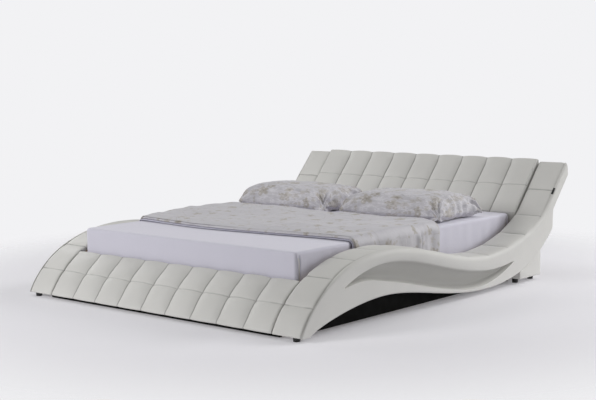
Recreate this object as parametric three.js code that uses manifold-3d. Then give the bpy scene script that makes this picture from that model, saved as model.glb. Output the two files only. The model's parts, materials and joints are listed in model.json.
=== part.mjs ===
// A leather bed with a wave-shaped frame, a slatted base, a mattress and its bedding.
// Millimetres. X runs across the bed, Y from the foot to the head, Z up from the floor.
// While the pieces are laid out, Y is zero at the foot of the mattress.

import * as THREE from 'three';
import { mergeVertices } from 'three/addons/utils/BufferGeometryUtils.js';
import Module from 'manifold-3d';

const wasm = await Module();
wasm.setup();

// Mattress and its fits
const mattressWidth = 1600;
const mattressLength = 2000;
const mattressHeight = 207;
const mattressCrown = 5;
const mattressEdgeRadius = 18;
const mattressCornerRadius = 16;
const cornerRadiusFloorShare = 0.25;
const mattressCornerSteps = 4;
const mattressWaist = 3;
const mattressShoulder = 64;
const shoulderCrownShare = 0.6;
const mattressEdgeShares = [0, 1 / 3, 2 / 3, 1];
const sheetThickness = 1.5;
const sheetHemRise = 6;
const seatGap = 0.3;
const sideFit = 35;
const footFit = 8;
const headFit = 5;

// The wave that each side follows from the toe to the top of the headboard
const bandWidth = 197;
const padThickness = 26;
const toeReach = 236;
const toeDepth = 73;
const toeGap = 20;
const blockGap = 28;
const crestHeight = 364;
const troughHeight = 218;
const headHeight = 690;
const headReach = 296;
const headStraight = 350;
const headSlope = THREE.MathUtils.degToRad(47.8);
const headThickness = 70;
const headTopSetback = 55;
const kneeSetback = 272;
const kneeDrop = 110;
const archHeight = 131;
const bellyHeight = 28;
const crestShare = 0.23;
const troughShare = 0.71;
const archShare = 0.215;
const bellyShare = 0.69;
const toeRunShare = 0.092;
const toeRiseShare = 0.388;
const crestRunInShare = 0.628;
const crestRunOutShare = 0.354;
const troughRunInShare = 0.354;
const troughRunOutShare = 0.33;
const slopeRunInShare = 0.28;
const archRunShares = [0.104, 0.386];
const archRiseShare = 0.349;
const bellyRunShares = [0.285, 0.395];
const kneeRunShares = [0.312, 0.293];
const kneeRiseShare = 0.17;
const kneeStationShare = 0.31;

// Sculpted outer face of each side
const ridgeWidth = 26;
const ridgeWidthShares = [[0, 0.2], [0.09, 0.24], [0.165, 0.95], [0.25, 0.95], [0.4, 0.6], [1, 0.55]];
const ridgeRoll = 15;
const rollRunShare = 0.3;
const rollScoopShare = 0.45;
const rollRidgeShare = 0.6;
const edgeRoll = 10;
const edgeScoopShare = 0.25;
const scoopDepth = 48;
const scoopLip = 6;
const creaseWidth = 5;
const creaseDepth = 1.5;
const scoopStartShare = 0.03;
const scoopEndShare = 0.84;
const scoopUpperShares = [
  [0, 0.37], [0.14, 0.3], [0.3, 0.28], [0.5, 0.31],
  [0.7, 0.37], [0.87, 0.46], [1, 0.5],
];
const scoopLowerShares = [
  [0, 0.4], [0.1, 0.5], [0.22, 0.67], [0.38, 0.8],
  [0.6, 0.89], [0.8, 0.88], [0.92, 0.7], [1, 0.52],
];
const scoopSectionShares = [[0.08, 0.2], [0.3, 0.52], [0.55, 0.85], [0.76, 1], [0.9, 0.7]];

// Quilting
const columnCount = 9;
const firstCell = 165;
const cellPitch = 204;
const channelPower = 4;
const columnDip = 9;
const rowDip = 3;
const padEdgeDip = 8;
const grooveShares = [[0, 1], [0.15, 1], [0.25, 0.6], [0.4, 0.3], [1, 0.3]];
const padEndDip = 4;
const padEndReach = 20;
const columnSampleShares = [0, 0.07, 0.26, 0.5, 0.74, 0.93];
const rowSampleShares = [0, 0.1, 0.5, 0.9];
const footboardRowShares = [0, 0.1, 0.3, 0.5, 0.7, 0.9];
const bandSampleShares = [0, 0.09, 0.3, 0.62, 0.9, 1];
const headboardProud = 15;
const headPadLift = 9;
const headBendReach = 30;

// Timber and steel inside
const ribThickness = 25;
const deckHeight = 177;
const slatThickness = 18;
const slatWidth = 80;
const slatCount = 13;
const slatEndMargin = 32;
const slatChamfer = 5;
const slatEndGap = 1;
const ledgeFlange = 36;
const ledgeWall = 4;
const ledgeEndGap = 3;
const spacerHeight = 12;
const spacerGap = 1.5;
const spacerDepth = 14;
const beamWidth = 40;
const beamDepth = 40;
const beamWall = 2;
const hangerWall = 4;
const hangerEar = 26;
const hangerDepth = 60;
const boardThickness = 6;
const lowerRailHeight = 100;
const runnerThickness = 18;
const runnerInset = 91;
const runnerClearance = 4;
const runnerLift = 8;
const runnerStart = 50;
const footRunnerInset = 34;
const blockInset = 8;
const blockStartShare = 0.879;
const blockLength = 240;
const bracketLeg = 62;
const longBracketLeg = 112;
const bracketWall = 4;
const bracketHeight = 46;
const boltHeadAcross = 13;
const boltHeadHeight = 5;

// Centre legs with screw glides
const legShares = [0.18, 0.5, 0.82];
const legRadius = 19;
const legWall = 1.6;
const legFlangeRadius = 34;
const legFlangeThickness = 4;
const insertLength = 15;
const stemRadius = 5;
const stemFit = 0.4;
const glideRadius = 25;
const glideThickness = 8;
const glideRimShare = 0.4;
const glideInsetShare = 0.1;
const glideTravel = 20;
const glideStop = 2;
const stemInside = 36;
const roundSides = 24;

// Floor feet
const footRadius = 19;
const footTaper = 2;
const toeFootInset = 55;
const toeFootSetback = 30;
const blockFootInset = 67;
const blockFootSetbacks = [42, 24];
const footboardFootInset = 52;
const footRunnerReach = 30;

// Duvet and pillows
const duvetThickness = 26;
const duvetLoft = 8;
const duvetSideFit = 3;
const duvetFlapThickness = 11;
const duvetHang = 158;
const duvetHeadShare = 0.613;
const duvetFootShares = [[0, 0.21], [0.35, 0.175], [0.66, 0.195], [0.92, 0.221], [1, 0.218]];
const duvetTopShares = [-1, -0.97, -0.9, -0.75, -0.55, -0.3, 0, 0.3, 0.55, 0.75, 0.9, 0.97, 1];
const duvetFlapShares = [1, 0.66, 0.33];
const duvetLengthSteps = 16;
const duvetEdgeShare = 0.96;
const duvetEdgeDropShare = 0.6;
const duvetLiningDropShare = 0.35;
const duvetEndDropShare = 0.5;
const duvetFoldCount = 3;
const duvetFoldHeight = 4;
const flapFoldCount = 7;
const flapFoldDepth = 3;
const pillowWidth = 740;
const pillowDepth = 480;
const pillowHeight = 158;
const pillowSeamHeight = 34;
const pillowFrontGap = 50;
const pillowCentres = [-438, 405];
const pillowPull = 24;
const pillowEndPower = 0.3;
const pillowFrontPower = 0.42;
const pillowFloorShare = 0.5;
const pillowSteps = [16, 12];

// Sewn edge tab
const tabLength = 46;
const tabThickness = 1.2;
const tabFromTop = 205;

// Sizes worked out from those above
const insideHalf = mattressWidth / 2 + sideFit;
const outsideHalf = insideHalf + bandWidth;
const slatUnderside = deckHeight - slatThickness;
const sheetBase = deckHeight + seatGap;
const mattressTop = sheetBase + mattressHeight;
const beddingBase = mattressTop + mattressCrown + seatGap;

// Colours and finishes
const finishes = {
  leather: { color: 0xd3d3cd, roughness: 0.42, metalness: 0 },
  sheet: { color: 0xcac7d8, roughness: 0.85, metalness: 0 },
  print: { color: 0xd0cdd3, roughness: 0.8, metalness: 0 },
  ticking: { color: 0xe4e2dc, roughness: 0.9, metalness: 0 },
  timber: { color: 0xc9a678, roughness: 0.65, metalness: 0 },
  black_board: { color: 0x131312, roughness: 0.75, metalness: 0 },
  steel: { color: 0x1c1d1f, roughness: 0.45, metalness: 0.6 },
  plastic: { color: 0x161616, roughness: 0.55, metalness: 0 },
  tab: { color: 0x101010, roughness: 0.9, metalness: 0 },
};

const bed = new THREE.Group();

function addPiece(name, geometry, finish) {
  const piece = new THREE.Mesh(geometry, new THREE.MeshStandardMaterial(finishes[finish]));
  piece.name = name;
  bed.add(piece);
  return piece;
}

// Plain solids from points and triangles

function solidFrom(points, faces) {
  const volume = faces.reduce(
    (sum, [a, b, c]) => sum + points[a].dot(points[b].clone().cross(points[c])),
    0,
  );
  const outward = volume < 0 ? faces.map(([a, b, c]) => [a, c, b]) : faces;
  const geometry = new THREE.BufferGeometry().setFromPoints(points);
  geometry.setIndex(outward.flat());
  geometry.computeVertexNormals();
  return geometry;
}

function mirrored(geometry) {
  const points = [];
  const position = geometry.getAttribute('position');
  for (let i = 0; i < position.count; i += 1) {
    points.push(new THREE.Vector3().fromBufferAttribute(position, i).multiply(new THREE.Vector3(-1, 1, 1)));
  }
  const index = Array.from(geometry.index.array);
  const faces = [];
  for (let i = 0; i < index.length; i += 3) {
    faces.push(index.slice(i, i + 3));
  }
  return solidFrom(points, faces);
}

function quad(a, b, c, d) {
  return [[a, b, c], [a, c, d]];
}

// Rings of equal count joined into one closed solid; each ring also has a flat outline for its cap.
function ringSolid(rings, outlines) {
  const count = rings[0].length;
  const points = rings.flat();
  const faces = [];
  for (let i = 1; i < rings.length; i += 1) {
    for (let j = 0; j < count; j += 1) {
      const k = (j + 1) % count;
      const near = (i - 1) * count;
      const far = i * count;
      faces.push(...quad(near + j, near + k, far + k, far + j));
    }
  }
  const turned = THREE.ShapeUtils.isClockWise(outlines[0]);
  const cap = (outline, start, flip) => THREE.ShapeUtils.triangulateShape(outline, []).map(
    ([a, b, c]) => (flip ? [start + c, start + b, start + a] : [start + a, start + b, start + c]),
  );
  const last = (rings.length - 1) * count;
  const [first, final] = [outlines[0], outlines[outlines.length - 1]];
  if (turned) {
    const back = (outline, start, flip) => cap([...outline].reverse(), 0, flip).map(
      (face) => face.map((corner) => start + count - 1 - corner),
    );
    faces.push(...back(first, 0, false), ...back(final, last, true));
  } else {
    faces.push(...cap(first, 0, true), ...cap(final, last, false));
  }
  return solidFrom(points, faces);
}

// A flat outline in Y and Z, extruded across the bed from one X to another.
function acrossBed(outline, fromX, toX) {
  const shape = new THREE.Shape(outline.map(([y, z]) => new THREE.Vector2(y, z)));
  const geometry = new THREE.ExtrudeGeometry(shape, { depth: toX - fromX, bevelEnabled: false });
  geometry.applyMatrix4(new THREE.Matrix4().makeBasis(
    new THREE.Vector3(0, 1, 0),
    new THREE.Vector3(0, 0, 1),
    new THREE.Vector3(1, 0, 0),
  ));
  geometry.translate(fromX, 0, 0);
  return merged(geometry);
}

// A flat outline in X and Z, extruded along the bed from one Y to another.
function alongBed(outline, fromY, toY, holes = []) {
  const shape = new THREE.Shape(outline.map(([x, z]) => new THREE.Vector2(x, z)));
  holes.forEach((hole) => shape.holes.push(new THREE.Path(hole.map(([x, z]) => new THREE.Vector2(x, z)))));
  const geometry = new THREE.ExtrudeGeometry(shape, { depth: toY - fromY, bevelEnabled: false });
  geometry.rotateX(Math.PI / 2);
  geometry.translate(0, toY, 0);
  return merged(geometry);
}

function merged(geometry) {
  geometry.deleteAttribute('normal');
  geometry.deleteAttribute('uv');
  const joined = mergeVertices(geometry);
  joined.computeVertexNormals();
  return joined;
}

function box(from, to) {
  const size = to.clone().sub(from);
  const geometry = new THREE.BoxGeometry(size.x, size.y, size.z);
  const centre = from.clone().add(to).multiplyScalar(0.5);
  geometry.translate(centre.x, centre.y, centre.z);
  return merged(geometry);
}

function lathe(profile) {
  const geometry = new THREE.LatheGeometry(profile.map(([r, z]) => new THREE.Vector2(r, z)), roundSides);
  geometry.rotateX(Math.PI / 2);
  return merged(geometry);
}

function manifoldOf(geometry) {
  const plain = merged(geometry.clone());
  return new wasm.Manifold(new wasm.Mesh({
    numProp: 3,
    vertProperties: new Float32Array(plain.getAttribute('position').array),
    triVerts: new Uint32Array(plain.index.array),
  }));
}

function joined(geometries) {
  const solid = geometries.map(manifoldOf).reduce((sum, next) => sum.add(next));
  const mesh = solid.getMesh();
  const geometry = new THREE.BufferGeometry();
  geometry.setAttribute('position', new THREE.BufferAttribute(new Float32Array(mesh.vertProperties), 3));
  geometry.setIndex(new THREE.BufferAttribute(new Uint32Array(mesh.triVerts), 1));
  geometry.computeVertexNormals();
  return geometry;
}

// The value of a smooth table of [share, value] rows.
function tableValue(table, share) {
  const interpolant = new THREE.CubicInterpolant(
    table.map(([at]) => at),
    table.map(([, value]) => value),
    1,
    new Float32Array(1),
  );
  return interpolant.evaluate(THREE.MathUtils.clamp(share, 0, 1))[0];
}

// The wave in the Y-Z plane, its underside, and the stations that join them

const up = new THREE.Vector2(Math.cos(headSlope), Math.sin(headSlope));
const headInward = new THREE.Vector2(Math.sin(headSlope), -Math.cos(headSlope));

function offsetPoint(point, direction, distance) {
  return point.clone().addScaledVector(direction, distance);
}

function smoothCurve(from, fromHandle, toHandle, to) {
  return new THREE.CubicBezierCurve(from, fromHandle, toHandle, to);
}

const toe = new THREE.Vector2(-toeReach, toeGap);
const crest = new THREE.Vector2(mattressLength * crestShare, crestHeight);
const trough = new THREE.Vector2(mattressLength * troughShare, troughHeight);
const headTop = new THREE.Vector2(mattressLength + headReach, headHeight);
const slopeFoot = offsetPoint(headTop, up, -headStraight);
const kneeStation = slopeFoot.clone().lerp(headTop, kneeStationShare);

const toeUnder = new THREE.Vector2(-toeReach + toeDepth, toeGap);
const archTop = new THREE.Vector2(mattressLength * archShare, archHeight);
const belly = new THREE.Vector2(mattressLength * bellyShare, bellyHeight);
const headTopUnder = offsetPoint(headTop, headInward, headThickness);
const headTopBack = offsetPoint(headTopUnder, up, -headTopSetback);
const kneeTop = offsetPoint(headTopBack, up, -kneeSetback);
const kneeLow = new THREE.Vector2(kneeTop.x, kneeTop.y - kneeDrop);

function between(from, to, yShare, zShare) {
  return new THREE.Vector2(from.x + (to.x - from.x) * yShare, from.y + (to.y - from.y) * zShare);
}

const waveCurves = [
  smoothCurve(
    toe,
    between(toe, crest, toeRunShare, toeRiseShare),
    between(crest, toe, crestRunInShare, 0),
    crest,
  ),
  smoothCurve(
    crest,
    between(crest, trough, crestRunOutShare, 0),
    between(trough, crest, troughRunInShare, 0),
    trough,
  ),
  smoothCurve(
    trough,
    between(trough, slopeFoot, troughRunOutShare, 0),
    offsetPoint(slopeFoot, up, -slopeRunInShare * (slopeFoot.x - trough.x)),
    slopeFoot,
  ),
  new THREE.LineCurve(slopeFoot, kneeStation),
  new THREE.LineCurve(kneeStation, headTop),
];

const underCurves = [
  smoothCurve(
    toeUnder,
    between(toeUnder, archTop, archRunShares[0], archRiseShare),
    between(archTop, toeUnder, archRunShares[1], 0),
    archTop,
  ),
  smoothCurve(
    archTop,
    between(archTop, belly, bellyRunShares[0], 0),
    between(belly, archTop, bellyRunShares[1], 0),
    belly,
  ),
  smoothCurve(
    belly,
    between(belly, kneeLow, kneeRunShares[0], 0),
    between(belly, kneeLow, 1 - kneeRunShares[1], kneeRiseShare),
    kneeLow,
  ),
  new THREE.LineCurve(kneeLow, kneeTop),
  new THREE.LineCurve(kneeTop, headTopBack),
];

const wavePath = new THREE.CurvePath();
waveCurves.forEach((curve) => wavePath.add(curve));
const waveLengths = wavePath.getCurveLengths();
const waveLength = waveLengths[waveLengths.length - 1];

// A station is a point on the wave, the way in towards the underside, and the depth of the band there.
function stationAt(arc) {
  const along = THREE.MathUtils.clamp(arc, 0, waveLength);
  const segment = waveLengths.findIndex((length) => along <= length);
  const start = segment > 0 ? waveLengths[segment - 1] : 0;
  const share = (along - start) / (waveLengths[segment] - start);
  const t = waveCurves[segment].getUtoTmapping(share);
  const top = waveCurves[segment].getPoint(t);
  const under = underCurves[segment].getPoint(t);
  const tangent = waveCurves[segment].getTangent(t);
  const inward = new THREE.Vector2(tangent.y, -tangent.x);
  const across = under.clone().sub(top);
  const depth = across.length();
  const direction = across.divideScalar(depth);
  return { arc, top, direction, inward, depth, slant: 1 / direction.dot(inward) };
}

function ridgeWidthAt(station) {
  return ridgeWidth * tableValue(ridgeWidthShares, station.arc / waveLength);
}

function stationPoint(station, x, depth) {
  return new THREE.Vector3(
    x,
    station.top.x + station.direction.x * depth,
    station.top.y + station.direction.y * depth,
  );
}

// The arc length at which the wave passes a given Y.
function arcAtY(y) {
  let [low, high] = [0, waveLength];
  for (let step = 0; step < 40; step += 1) {
    const middle = (low + high) / 2;
    if (stationAt(middle).top.x < y) low = middle;
    else high = middle;
  }
  return low;
}

// Samples inside each quilted cell, as the arc and how far into its cell it lies.
function cellSamples(bounds, shares) {
  const samples = [];
  for (let i = 1; i < bounds.length; i += 1) {
    shares.forEach((share) => {
      samples.push({ at: THREE.MathUtils.lerp(bounds[i - 1], bounds[i], share), share });
    });
  }
  samples.push({ at: bounds[bounds.length - 1], share: 1 });
  return samples;
}

const bandBounds = [0];
for (let arc = firstCell; arc < waveLength - cellPitch / 2; arc += cellPitch) {
  bandBounds.push(arc);
}
bandBounds.push(waveLength);
const bandStations = cellSamples(bandBounds, rowSampleShares).map(
  ({ at, share }) => ({ ...stationAt(at), share }),
);

// Side panels

function scoopAt(station) {
  const start = mattressLength * scoopStartShare;
  const end = mattressLength * scoopEndShare;
  const share = THREE.MathUtils.clamp((station.top.x - start) / (end - start), 0, 1);
  const upper = station.depth * tableValue(scoopUpperShares, share);
  const lower = Math.max(station.depth * tableValue(scoopLowerShares, share), upper + creaseWidth);
  const fullness = Math.sqrt(Math.sin(Math.PI * share));
  const depth = creaseDepth + scoopDepth * fullness;
  const lip = Math.min(scoopLip, creaseDepth + scoopLip * fullness);
  return { upper, lower, depth, lip };
}

function panelOutline(station) {
  const scoop = scoopAt(station);
  const ridge = ridgeWidthAt(station);
  const ridgeInner = outsideHalf - ridge;
  const roll = Math.min(ridgeRoll, scoop.upper * rollScoopShare, ridge * rollRidgeShare);
  const underRoll = Math.min(ridgeRoll, (station.depth - scoop.lower) * rollScoopShare);
  const edge = Math.min(edgeRoll, scoop.upper * edgeScoopShare);
  const floor = (padThickness + seatGap) * station.slant;
  const innerX = insideHalf + ribThickness + seatGap;
  const hollow = scoopSectionShares.map(([across, inwards]) => [
    outsideHalf - Math.max(scoop.depth * inwards, creaseDepth),
    THREE.MathUtils.lerp(scoop.upper, scoop.lower, across),
  ]);
  return [
    [innerX, floor],
    [ridgeInner, floor],
    [ridgeInner, roll * rollRunShare],
    [ridgeInner + ridge * rollRunShare, 0],
    [outsideHalf - roll * rollRunShare, roll * rollRunShare],
    [outsideHalf, roll],
    [outsideHalf, scoop.upper - edge],
    [outsideHalf - scoop.lip, scoop.upper],
    ...hollow,
    [outsideHalf, scoop.lower],
    [outsideHalf, station.depth - underRoll],
    [outsideHalf - underRoll * rollRunShare, station.depth - underRoll * rollRunShare],
    [outsideHalf - underRoll, station.depth],
    [innerX, station.depth],
  ].map(([x, depth]) => new THREE.Vector2(x, depth));
}

function ribOutline(station) {
  const floor = (padThickness + seatGap) * station.slant;
  return [
    [insideHalf, floor],
    [insideHalf + ribThickness, floor],
    [insideHalf + ribThickness, station.depth],
    [insideHalf, station.depth],
  ].map(([x, depth]) => new THREE.Vector2(x, depth));
}

function stationSolid(stations, outlineAt) {
  const outlines = stations.map(outlineAt);
  const rings = stations.map((station, i) => outlines[i].map(({ x, y }) => stationPoint(station, x, y)));
  return ringSolid(rings, outlines);
}

// Quilted pads

function roll(share) {
  return 1 - Math.abs(2 * share - 1) ** channelPower;
}

// A pad has a grid of surface points, and at each row a left and a right point on its plain back.
function padSolid(rows, backs, heights) {
  const count = rows[0].length;
  const points = [...rows.flat(), ...backs.flat()];
  const backStart = rows.length * count;
  const faces = [];
  for (let i = 1; i < rows.length; i += 1) {
    const [near, far] = [(i - 1) * count, i * count];
    const [backNear, backFar] = [backStart + (i - 1) * 2, backStart + i * 2];
    for (let j = 1; j < count; j += 1) {
      faces.push(...quad(near + j - 1, near + j, far + j, far + j - 1));
    }
    faces.push(...quad(backNear, backFar, backFar + 1, backNear + 1));
    faces.push(...quad(near, far, backFar, backNear));
    faces.push(...quad(near + count - 1, backNear + 1, backFar + 1, far + count - 1));
  }
  const endWall = (row, flip) => {
    const corners = [backStart + row * 2, backStart + row * 2 + 1];
    const ring = [corners[0], corners[1]];
    for (let j = count - 1; j >= 0; j -= 1) ring.push(row * count + j);
    const outline = ring.map((index) => {
      const height = index < backStart ? heights[row][index % count] : 0;
      return new THREE.Vector2(points[index].x, height);
    });
    const turned = THREE.ShapeUtils.isClockWise(outline);
    const order = turned ? [...ring].reverse() : ring;
    const flat = turned ? [...outline].reverse() : outline;
    return THREE.ShapeUtils.triangulateShape(flat, []).map(([a, b, c]) => (
      flip === turned ? [order[c], order[b], order[a]] : [order[a], order[b], order[c]]
    ));
  };
  faces.push(...endWall(0, true), ...endWall(rows.length - 1, false));
  return solidFrom(points, faces);
}

function edgeFade(distance, reach) {
  return distance >= reach ? 0 : (1 - distance / reach) ** 2;
}

// Each row has its own list of X places, so that a pad can follow an edge that changes.
function quiltedPad(stations, xsAt, dipAt, thickness) {
  const xs = stations.map(xsAt);
  const heights = stations.map((station, i) => xs[i].map((x) => thickness - dipAt(station, x)));
  const rows = stations.map((station, i) => xs[i].map(
    (x) => stationPoint(station, x.at, dipAt(station, x) * station.slant),
  ));
  const backs = stations.map((station, i) => [xs[i][0].at, xs[i][xs[i].length - 1].at].map(
    (x) => stationPoint(station, x, thickness * station.slant),
  ));
  return padSolid(rows, backs, heights);
}

const columnWidth = (2 * insideHalf - 2 * seatGap) / columnCount;
const columnBounds = Array.from(
  { length: columnCount + 1 },
  (_, i) => -insideHalf + seatGap + i * columnWidth,
);
const columnXs = cellSamples(columnBounds, columnSampleShares);

// How far the quilted surface lies below its full height: channels, row seams, and the free end and sides.
function columnedDip(station, x) {
  const toSide = insideHalf - Math.abs(x.at);
  return columnDip * (1 - roll(x.share))
    + rowDip * (1 - roll(station.share))
    + padEdgeDip * edgeFade(toSide, padEndReach) / 2
    + padEndDip * edgeFade(station.fromEnd, padEndReach);
}

function bandXsAt(station) {
  const outer = outsideHalf - ridgeWidthAt(station) - seatGap;
  return bandSampleShares.map(
    (share) => ({ at: THREE.MathUtils.lerp(insideHalf, outer, share), share }),
  );
}

function bandDip(station, x) {
  const toEnd = Math.min(station.arc, waveLength - station.arc);
  const groove = x.share > 0.5 ? tableValue(grooveShares, station.arc / waveLength) : 1;
  return padEdgeDip * groove * (1 - roll(x.share))
    + rowDip * (1 - roll(station.share))
    + padEndDip * edgeFade(toEnd, padEndReach) / 2;
}

function makeSides() {
  const panel = stationSolid(bandStations, panelOutline);
  const rib = stationSolid(bandStations, ribOutline);
  const pad = quiltedPad(bandStations, bandXsAt, bandDip, padThickness);
  addPiece('side_panel_right', panel, 'leather');
  addPiece('side_panel_left', mirrored(panel), 'leather');
  addPiece('side_rib_right', rib, 'timber');
  addPiece('side_rib_left', mirrored(rib), 'timber');
  addPiece('side_pad_right', pad, 'leather');
  addPiece('side_pad_left', mirrored(pad), 'leather');
}

// Footboard

const footboardEnd = arcAtY(-footFit);
const footboardBounds = [0, firstCell, footboardEnd];
const footboardStations = cellSamples(footboardBounds, footboardRowShares).map(({ at, share }) => {
  const station = stationAt(at);
  const upright = THREE.MathUtils.smoothstep(at, 0, footboardEnd);
  const blend = 4 * upright * (1 - upright);
  const direction = new THREE.Vector2(1 - upright, -upright).lerp(station.inward, blend).normalize();
  return { ...station, share, direction, fromEnd: at, slant: 1 / direction.dot(station.inward) };
});

function makeFootboard() {
  const pad = quiltedPad(footboardStations, () => columnXs, columnedDip, padThickness);
  addPiece('footboard_pad', pad, 'leather');
  const top = footboardStations.map((station) => {
    const point = stationPoint(station, 0, (padThickness + seatGap) * station.slant);
    return [point.y, Math.max(point.z, toeGap)];
  });
  const outline = [...top, [-footFit, toeGap]];
  addPiece('footboard_core', acrossBed(outline, -insideHalf + seatGap, insideHalf - seatGap), 'timber');
  const front = -toeReach + footRunnerInset;
  addPiece('foot_runner', box(
    new THREE.Vector3(-insideHalf - footRunnerReach, front, runnerClearance),
    new THREE.Vector3(insideHalf + footRunnerReach, front + runnerThickness, toeGap - seatGap),
  ), 'black_board');
}

// Headboard

const headFaceY = mattressLength + headFit;
const padLine = offsetPoint(headTop, headInward, -headboardProud);
const padTotal = padThickness + headboardProud;
const bendDistance = (padLine.x - headFaceY) / up.x;
const bend = offsetPoint(padLine, up, -bendDistance);
const headPadLength = bendDistance + bend.y - deckHeight;
const topCut = headTopBack.clone().sub(headTop).normalize();

// Stations run from the top of the headboard's face down to the deck, turning at the bend.
function headStation(arc) {
  const turn = THREE.MathUtils.smoothstep(arc, bendDistance - headBendReach, bendDistance + headBendReach);
  const inward = headInward.clone().lerp(new THREE.Vector2(1, 0), turn).normalize();
  const onSlope = offsetPoint(padLine, up, -Math.min(arc, bendDistance));
  const top = new THREE.Vector2(onSlope.x, onSlope.y - Math.max(0, arc - bendDistance));
  const start = THREE.MathUtils.smoothstep(arc, -headPadLift, cellPitch / 2);
  const direction = topCut.clone().lerp(inward, start).normalize();
  return { arc, top, inward, direction, slant: 1 / direction.dot(inward) };
}

const headBounds = [-headPadLift, cellPitch, bendDistance, headPadLength];
const headStations = cellSamples(headBounds, rowSampleShares).map(({ at, share }) => ({
  ...headStation(at),
  share,
  fromEnd: at + headPadLift,
}));

function makeHeadboard() {
  const pad = quiltedPad(headStations, () => columnXs, columnedDip, padTotal);
  addPiece('headboard_pad', pad, 'leather');

  const coreFront = offsetPoint(headTop, headInward, padThickness + seatGap);
  const frontX = headFaceY + padTotal + seatGap;
  const frontBend = offsetPoint(coreFront, up, -(coreFront.x - frontX) / up.x);
  const cutTo = (depth) => offsetPoint(headTop, topCut, depth / topCut.dot(headInward));
  const backDepth = headThickness - boardThickness - seatGap;
  const coreTop = cutTo(padThickness + seatGap);
  const backTop = cutTo(backDepth);
  const kneeBackTop = offsetPoint(kneeTop, headInward, -(boardThickness + seatGap));
  const kneeX = kneeTop.x - boardThickness - seatGap;
  const kneeZ = kneeBackTop.y + (kneeX - kneeBackTop.x) * Math.tan(headSlope);
  const core = [
    [coreTop.x, coreTop.y],
    [frontBend.x, frontBend.y],
    [frontX, lowerRailHeight],
    [kneeX, lowerRailHeight],
    [kneeX, kneeZ],
    [backTop.x, backTop.y],
  ];
  addPiece('headboard_core', acrossBed(core, -insideHalf + seatGap, insideHalf - seatGap), 'timber');

  const inside = cutTo(headThickness - boardThickness);
  const boardInnerX = kneeTop.x - boardThickness;
  const boardKnee = offsetPoint(kneeTop, headInward, -boardThickness);
  const boardInnerZ = boardKnee.y + (boardInnerX - boardKnee.x) * Math.tan(headSlope);
  const board = [
    [headTopBack.x, headTopBack.y],
    [inside.x, inside.y],
    [boardInnerX, boardInnerZ],
    [boardInnerX, lowerRailHeight],
    [kneeTop.x, lowerRailHeight],
    [kneeTop.x, kneeTop.y],
  ];
  addPiece('headboard_back', acrossBed(board, -insideHalf + seatGap, insideHalf - seatGap), 'leather');
}

// Rear blocks and runner boards that close the arches

const underPoints = bandStations.map(({ top, direction, depth }) => offsetPoint(top, direction, depth));

function underHeight(y) {
  const next = underPoints.findIndex((point) => point.x > y);
  const [before, after] = [underPoints[next - 1], underPoints[next]];
  return THREE.MathUtils.mapLinear(y, before.x, after.x, before.y, after.y);
}

// The underside of a side, from one Y to another, a seat gap below it.
function underLine(fromY, toY) {
  const ys = underPoints.map((point) => point.x).filter((y) => y > fromY && y < toY);
  return [fromY, ...ys, toY].map((y) => [y, underHeight(y) - seatGap]);
}

const blockStart = mattressLength * blockStartShare;
const blockEnd = blockStart + blockLength;
const runnerBottom = runnerClearance + runnerLift;

function makeSupports() {
  const blockOutline = [
    [blockStart, blockGap],
    [blockEnd, blockGap],
    ...underLine(blockStart, blockEnd).reverse(),
  ];
  const block = acrossBed(blockOutline, insideHalf + seatGap, outsideHalf - blockInset);
  addPiece('rear_block_right', block, 'leather');
  addPiece('rear_block_left', mirrored(block), 'leather');

  const runnerEnd = blockStart - seatGap;
  const runnerOutline = [
    [-runnerStart, runnerBottom],
    [runnerEnd, runnerBottom],
    ...underLine(-runnerStart, runnerEnd).reverse(),
  ];
  const runnerOuter = outsideHalf - runnerInset;
  const runner = acrossBed(runnerOutline, runnerOuter - runnerThickness, runnerOuter);
  addPiece('side_runner_right', runner, 'black_board');
  addPiece('side_runner_left', mirrored(runner), 'black_board');
}

// Slatted base

const slatPitch = (mattressLength - 2 * slatEndMargin - slatWidth) / (slatCount - 1);

function slatStart(index) {
  return slatEndMargin + index * slatPitch;
}

function makeSlats() {
  const half = insideHalf - ledgeWall - seatGap - slatEndGap;
  const outline = [
    [0, 0],
    [slatWidth, 0],
    [slatWidth, slatThickness - slatChamfer],
    [slatWidth - slatChamfer, slatThickness],
    [slatChamfer, slatThickness],
    [0, slatThickness - slatChamfer],
  ];
  for (let i = 0; i < slatCount; i += 1) {
    const number = String(i + 1).padStart(2, '0');
    const slat = addPiece(`slat_${number}`, acrossBed(outline, -half, half), 'timber');
    slat.position.set(0, slatStart(i), slatUnderside);
  }
}

function makeLedges() {
  const outer = insideHalf - seatGap;
  const flangeTop = slatUnderside - seatGap;
  const inner = outer - ledgeFlange;
  const angle = alongBed([
    [inner, flangeTop - ledgeWall],
    [outer, flangeTop - ledgeWall],
    [outer, flangeTop - ledgeWall + ledgeFlange],
    [outer - ledgeWall, flangeTop - ledgeWall + ledgeFlange],
    [outer - ledgeWall, flangeTop],
    [inner, flangeTop],
  ], ledgeEndGap, mattressLength - ledgeEndGap);
  const spacers = [];
  const spacerOuter = outer - ledgeWall / 2;
  for (let i = 1; i < slatCount; i += 1) {
    const start = slatStart(i - 1) + slatWidth + spacerGap;
    const end = slatStart(i) - spacerGap;
    spacers.push(box(
      new THREE.Vector3(spacerOuter - spacerDepth, start, flangeTop - ledgeWall / 2),
      new THREE.Vector3(spacerOuter, end, flangeTop + spacerHeight),
    ));
  }
  const ledge = joined([angle, ...spacers]);
  addPiece('side_ledge_right', ledge, 'steel');
  addPiece('side_ledge_left', mirrored(ledge), 'steel');
}

const beamTop = slatUnderside - seatGap;
const beamStart = -footFit + seatGap + hangerWall + slatEndGap;
const headCoreFront = headFaceY + padTotal + seatGap;
const beamEnd = headCoreFront - seatGap - hangerWall - slatEndGap;

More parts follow.
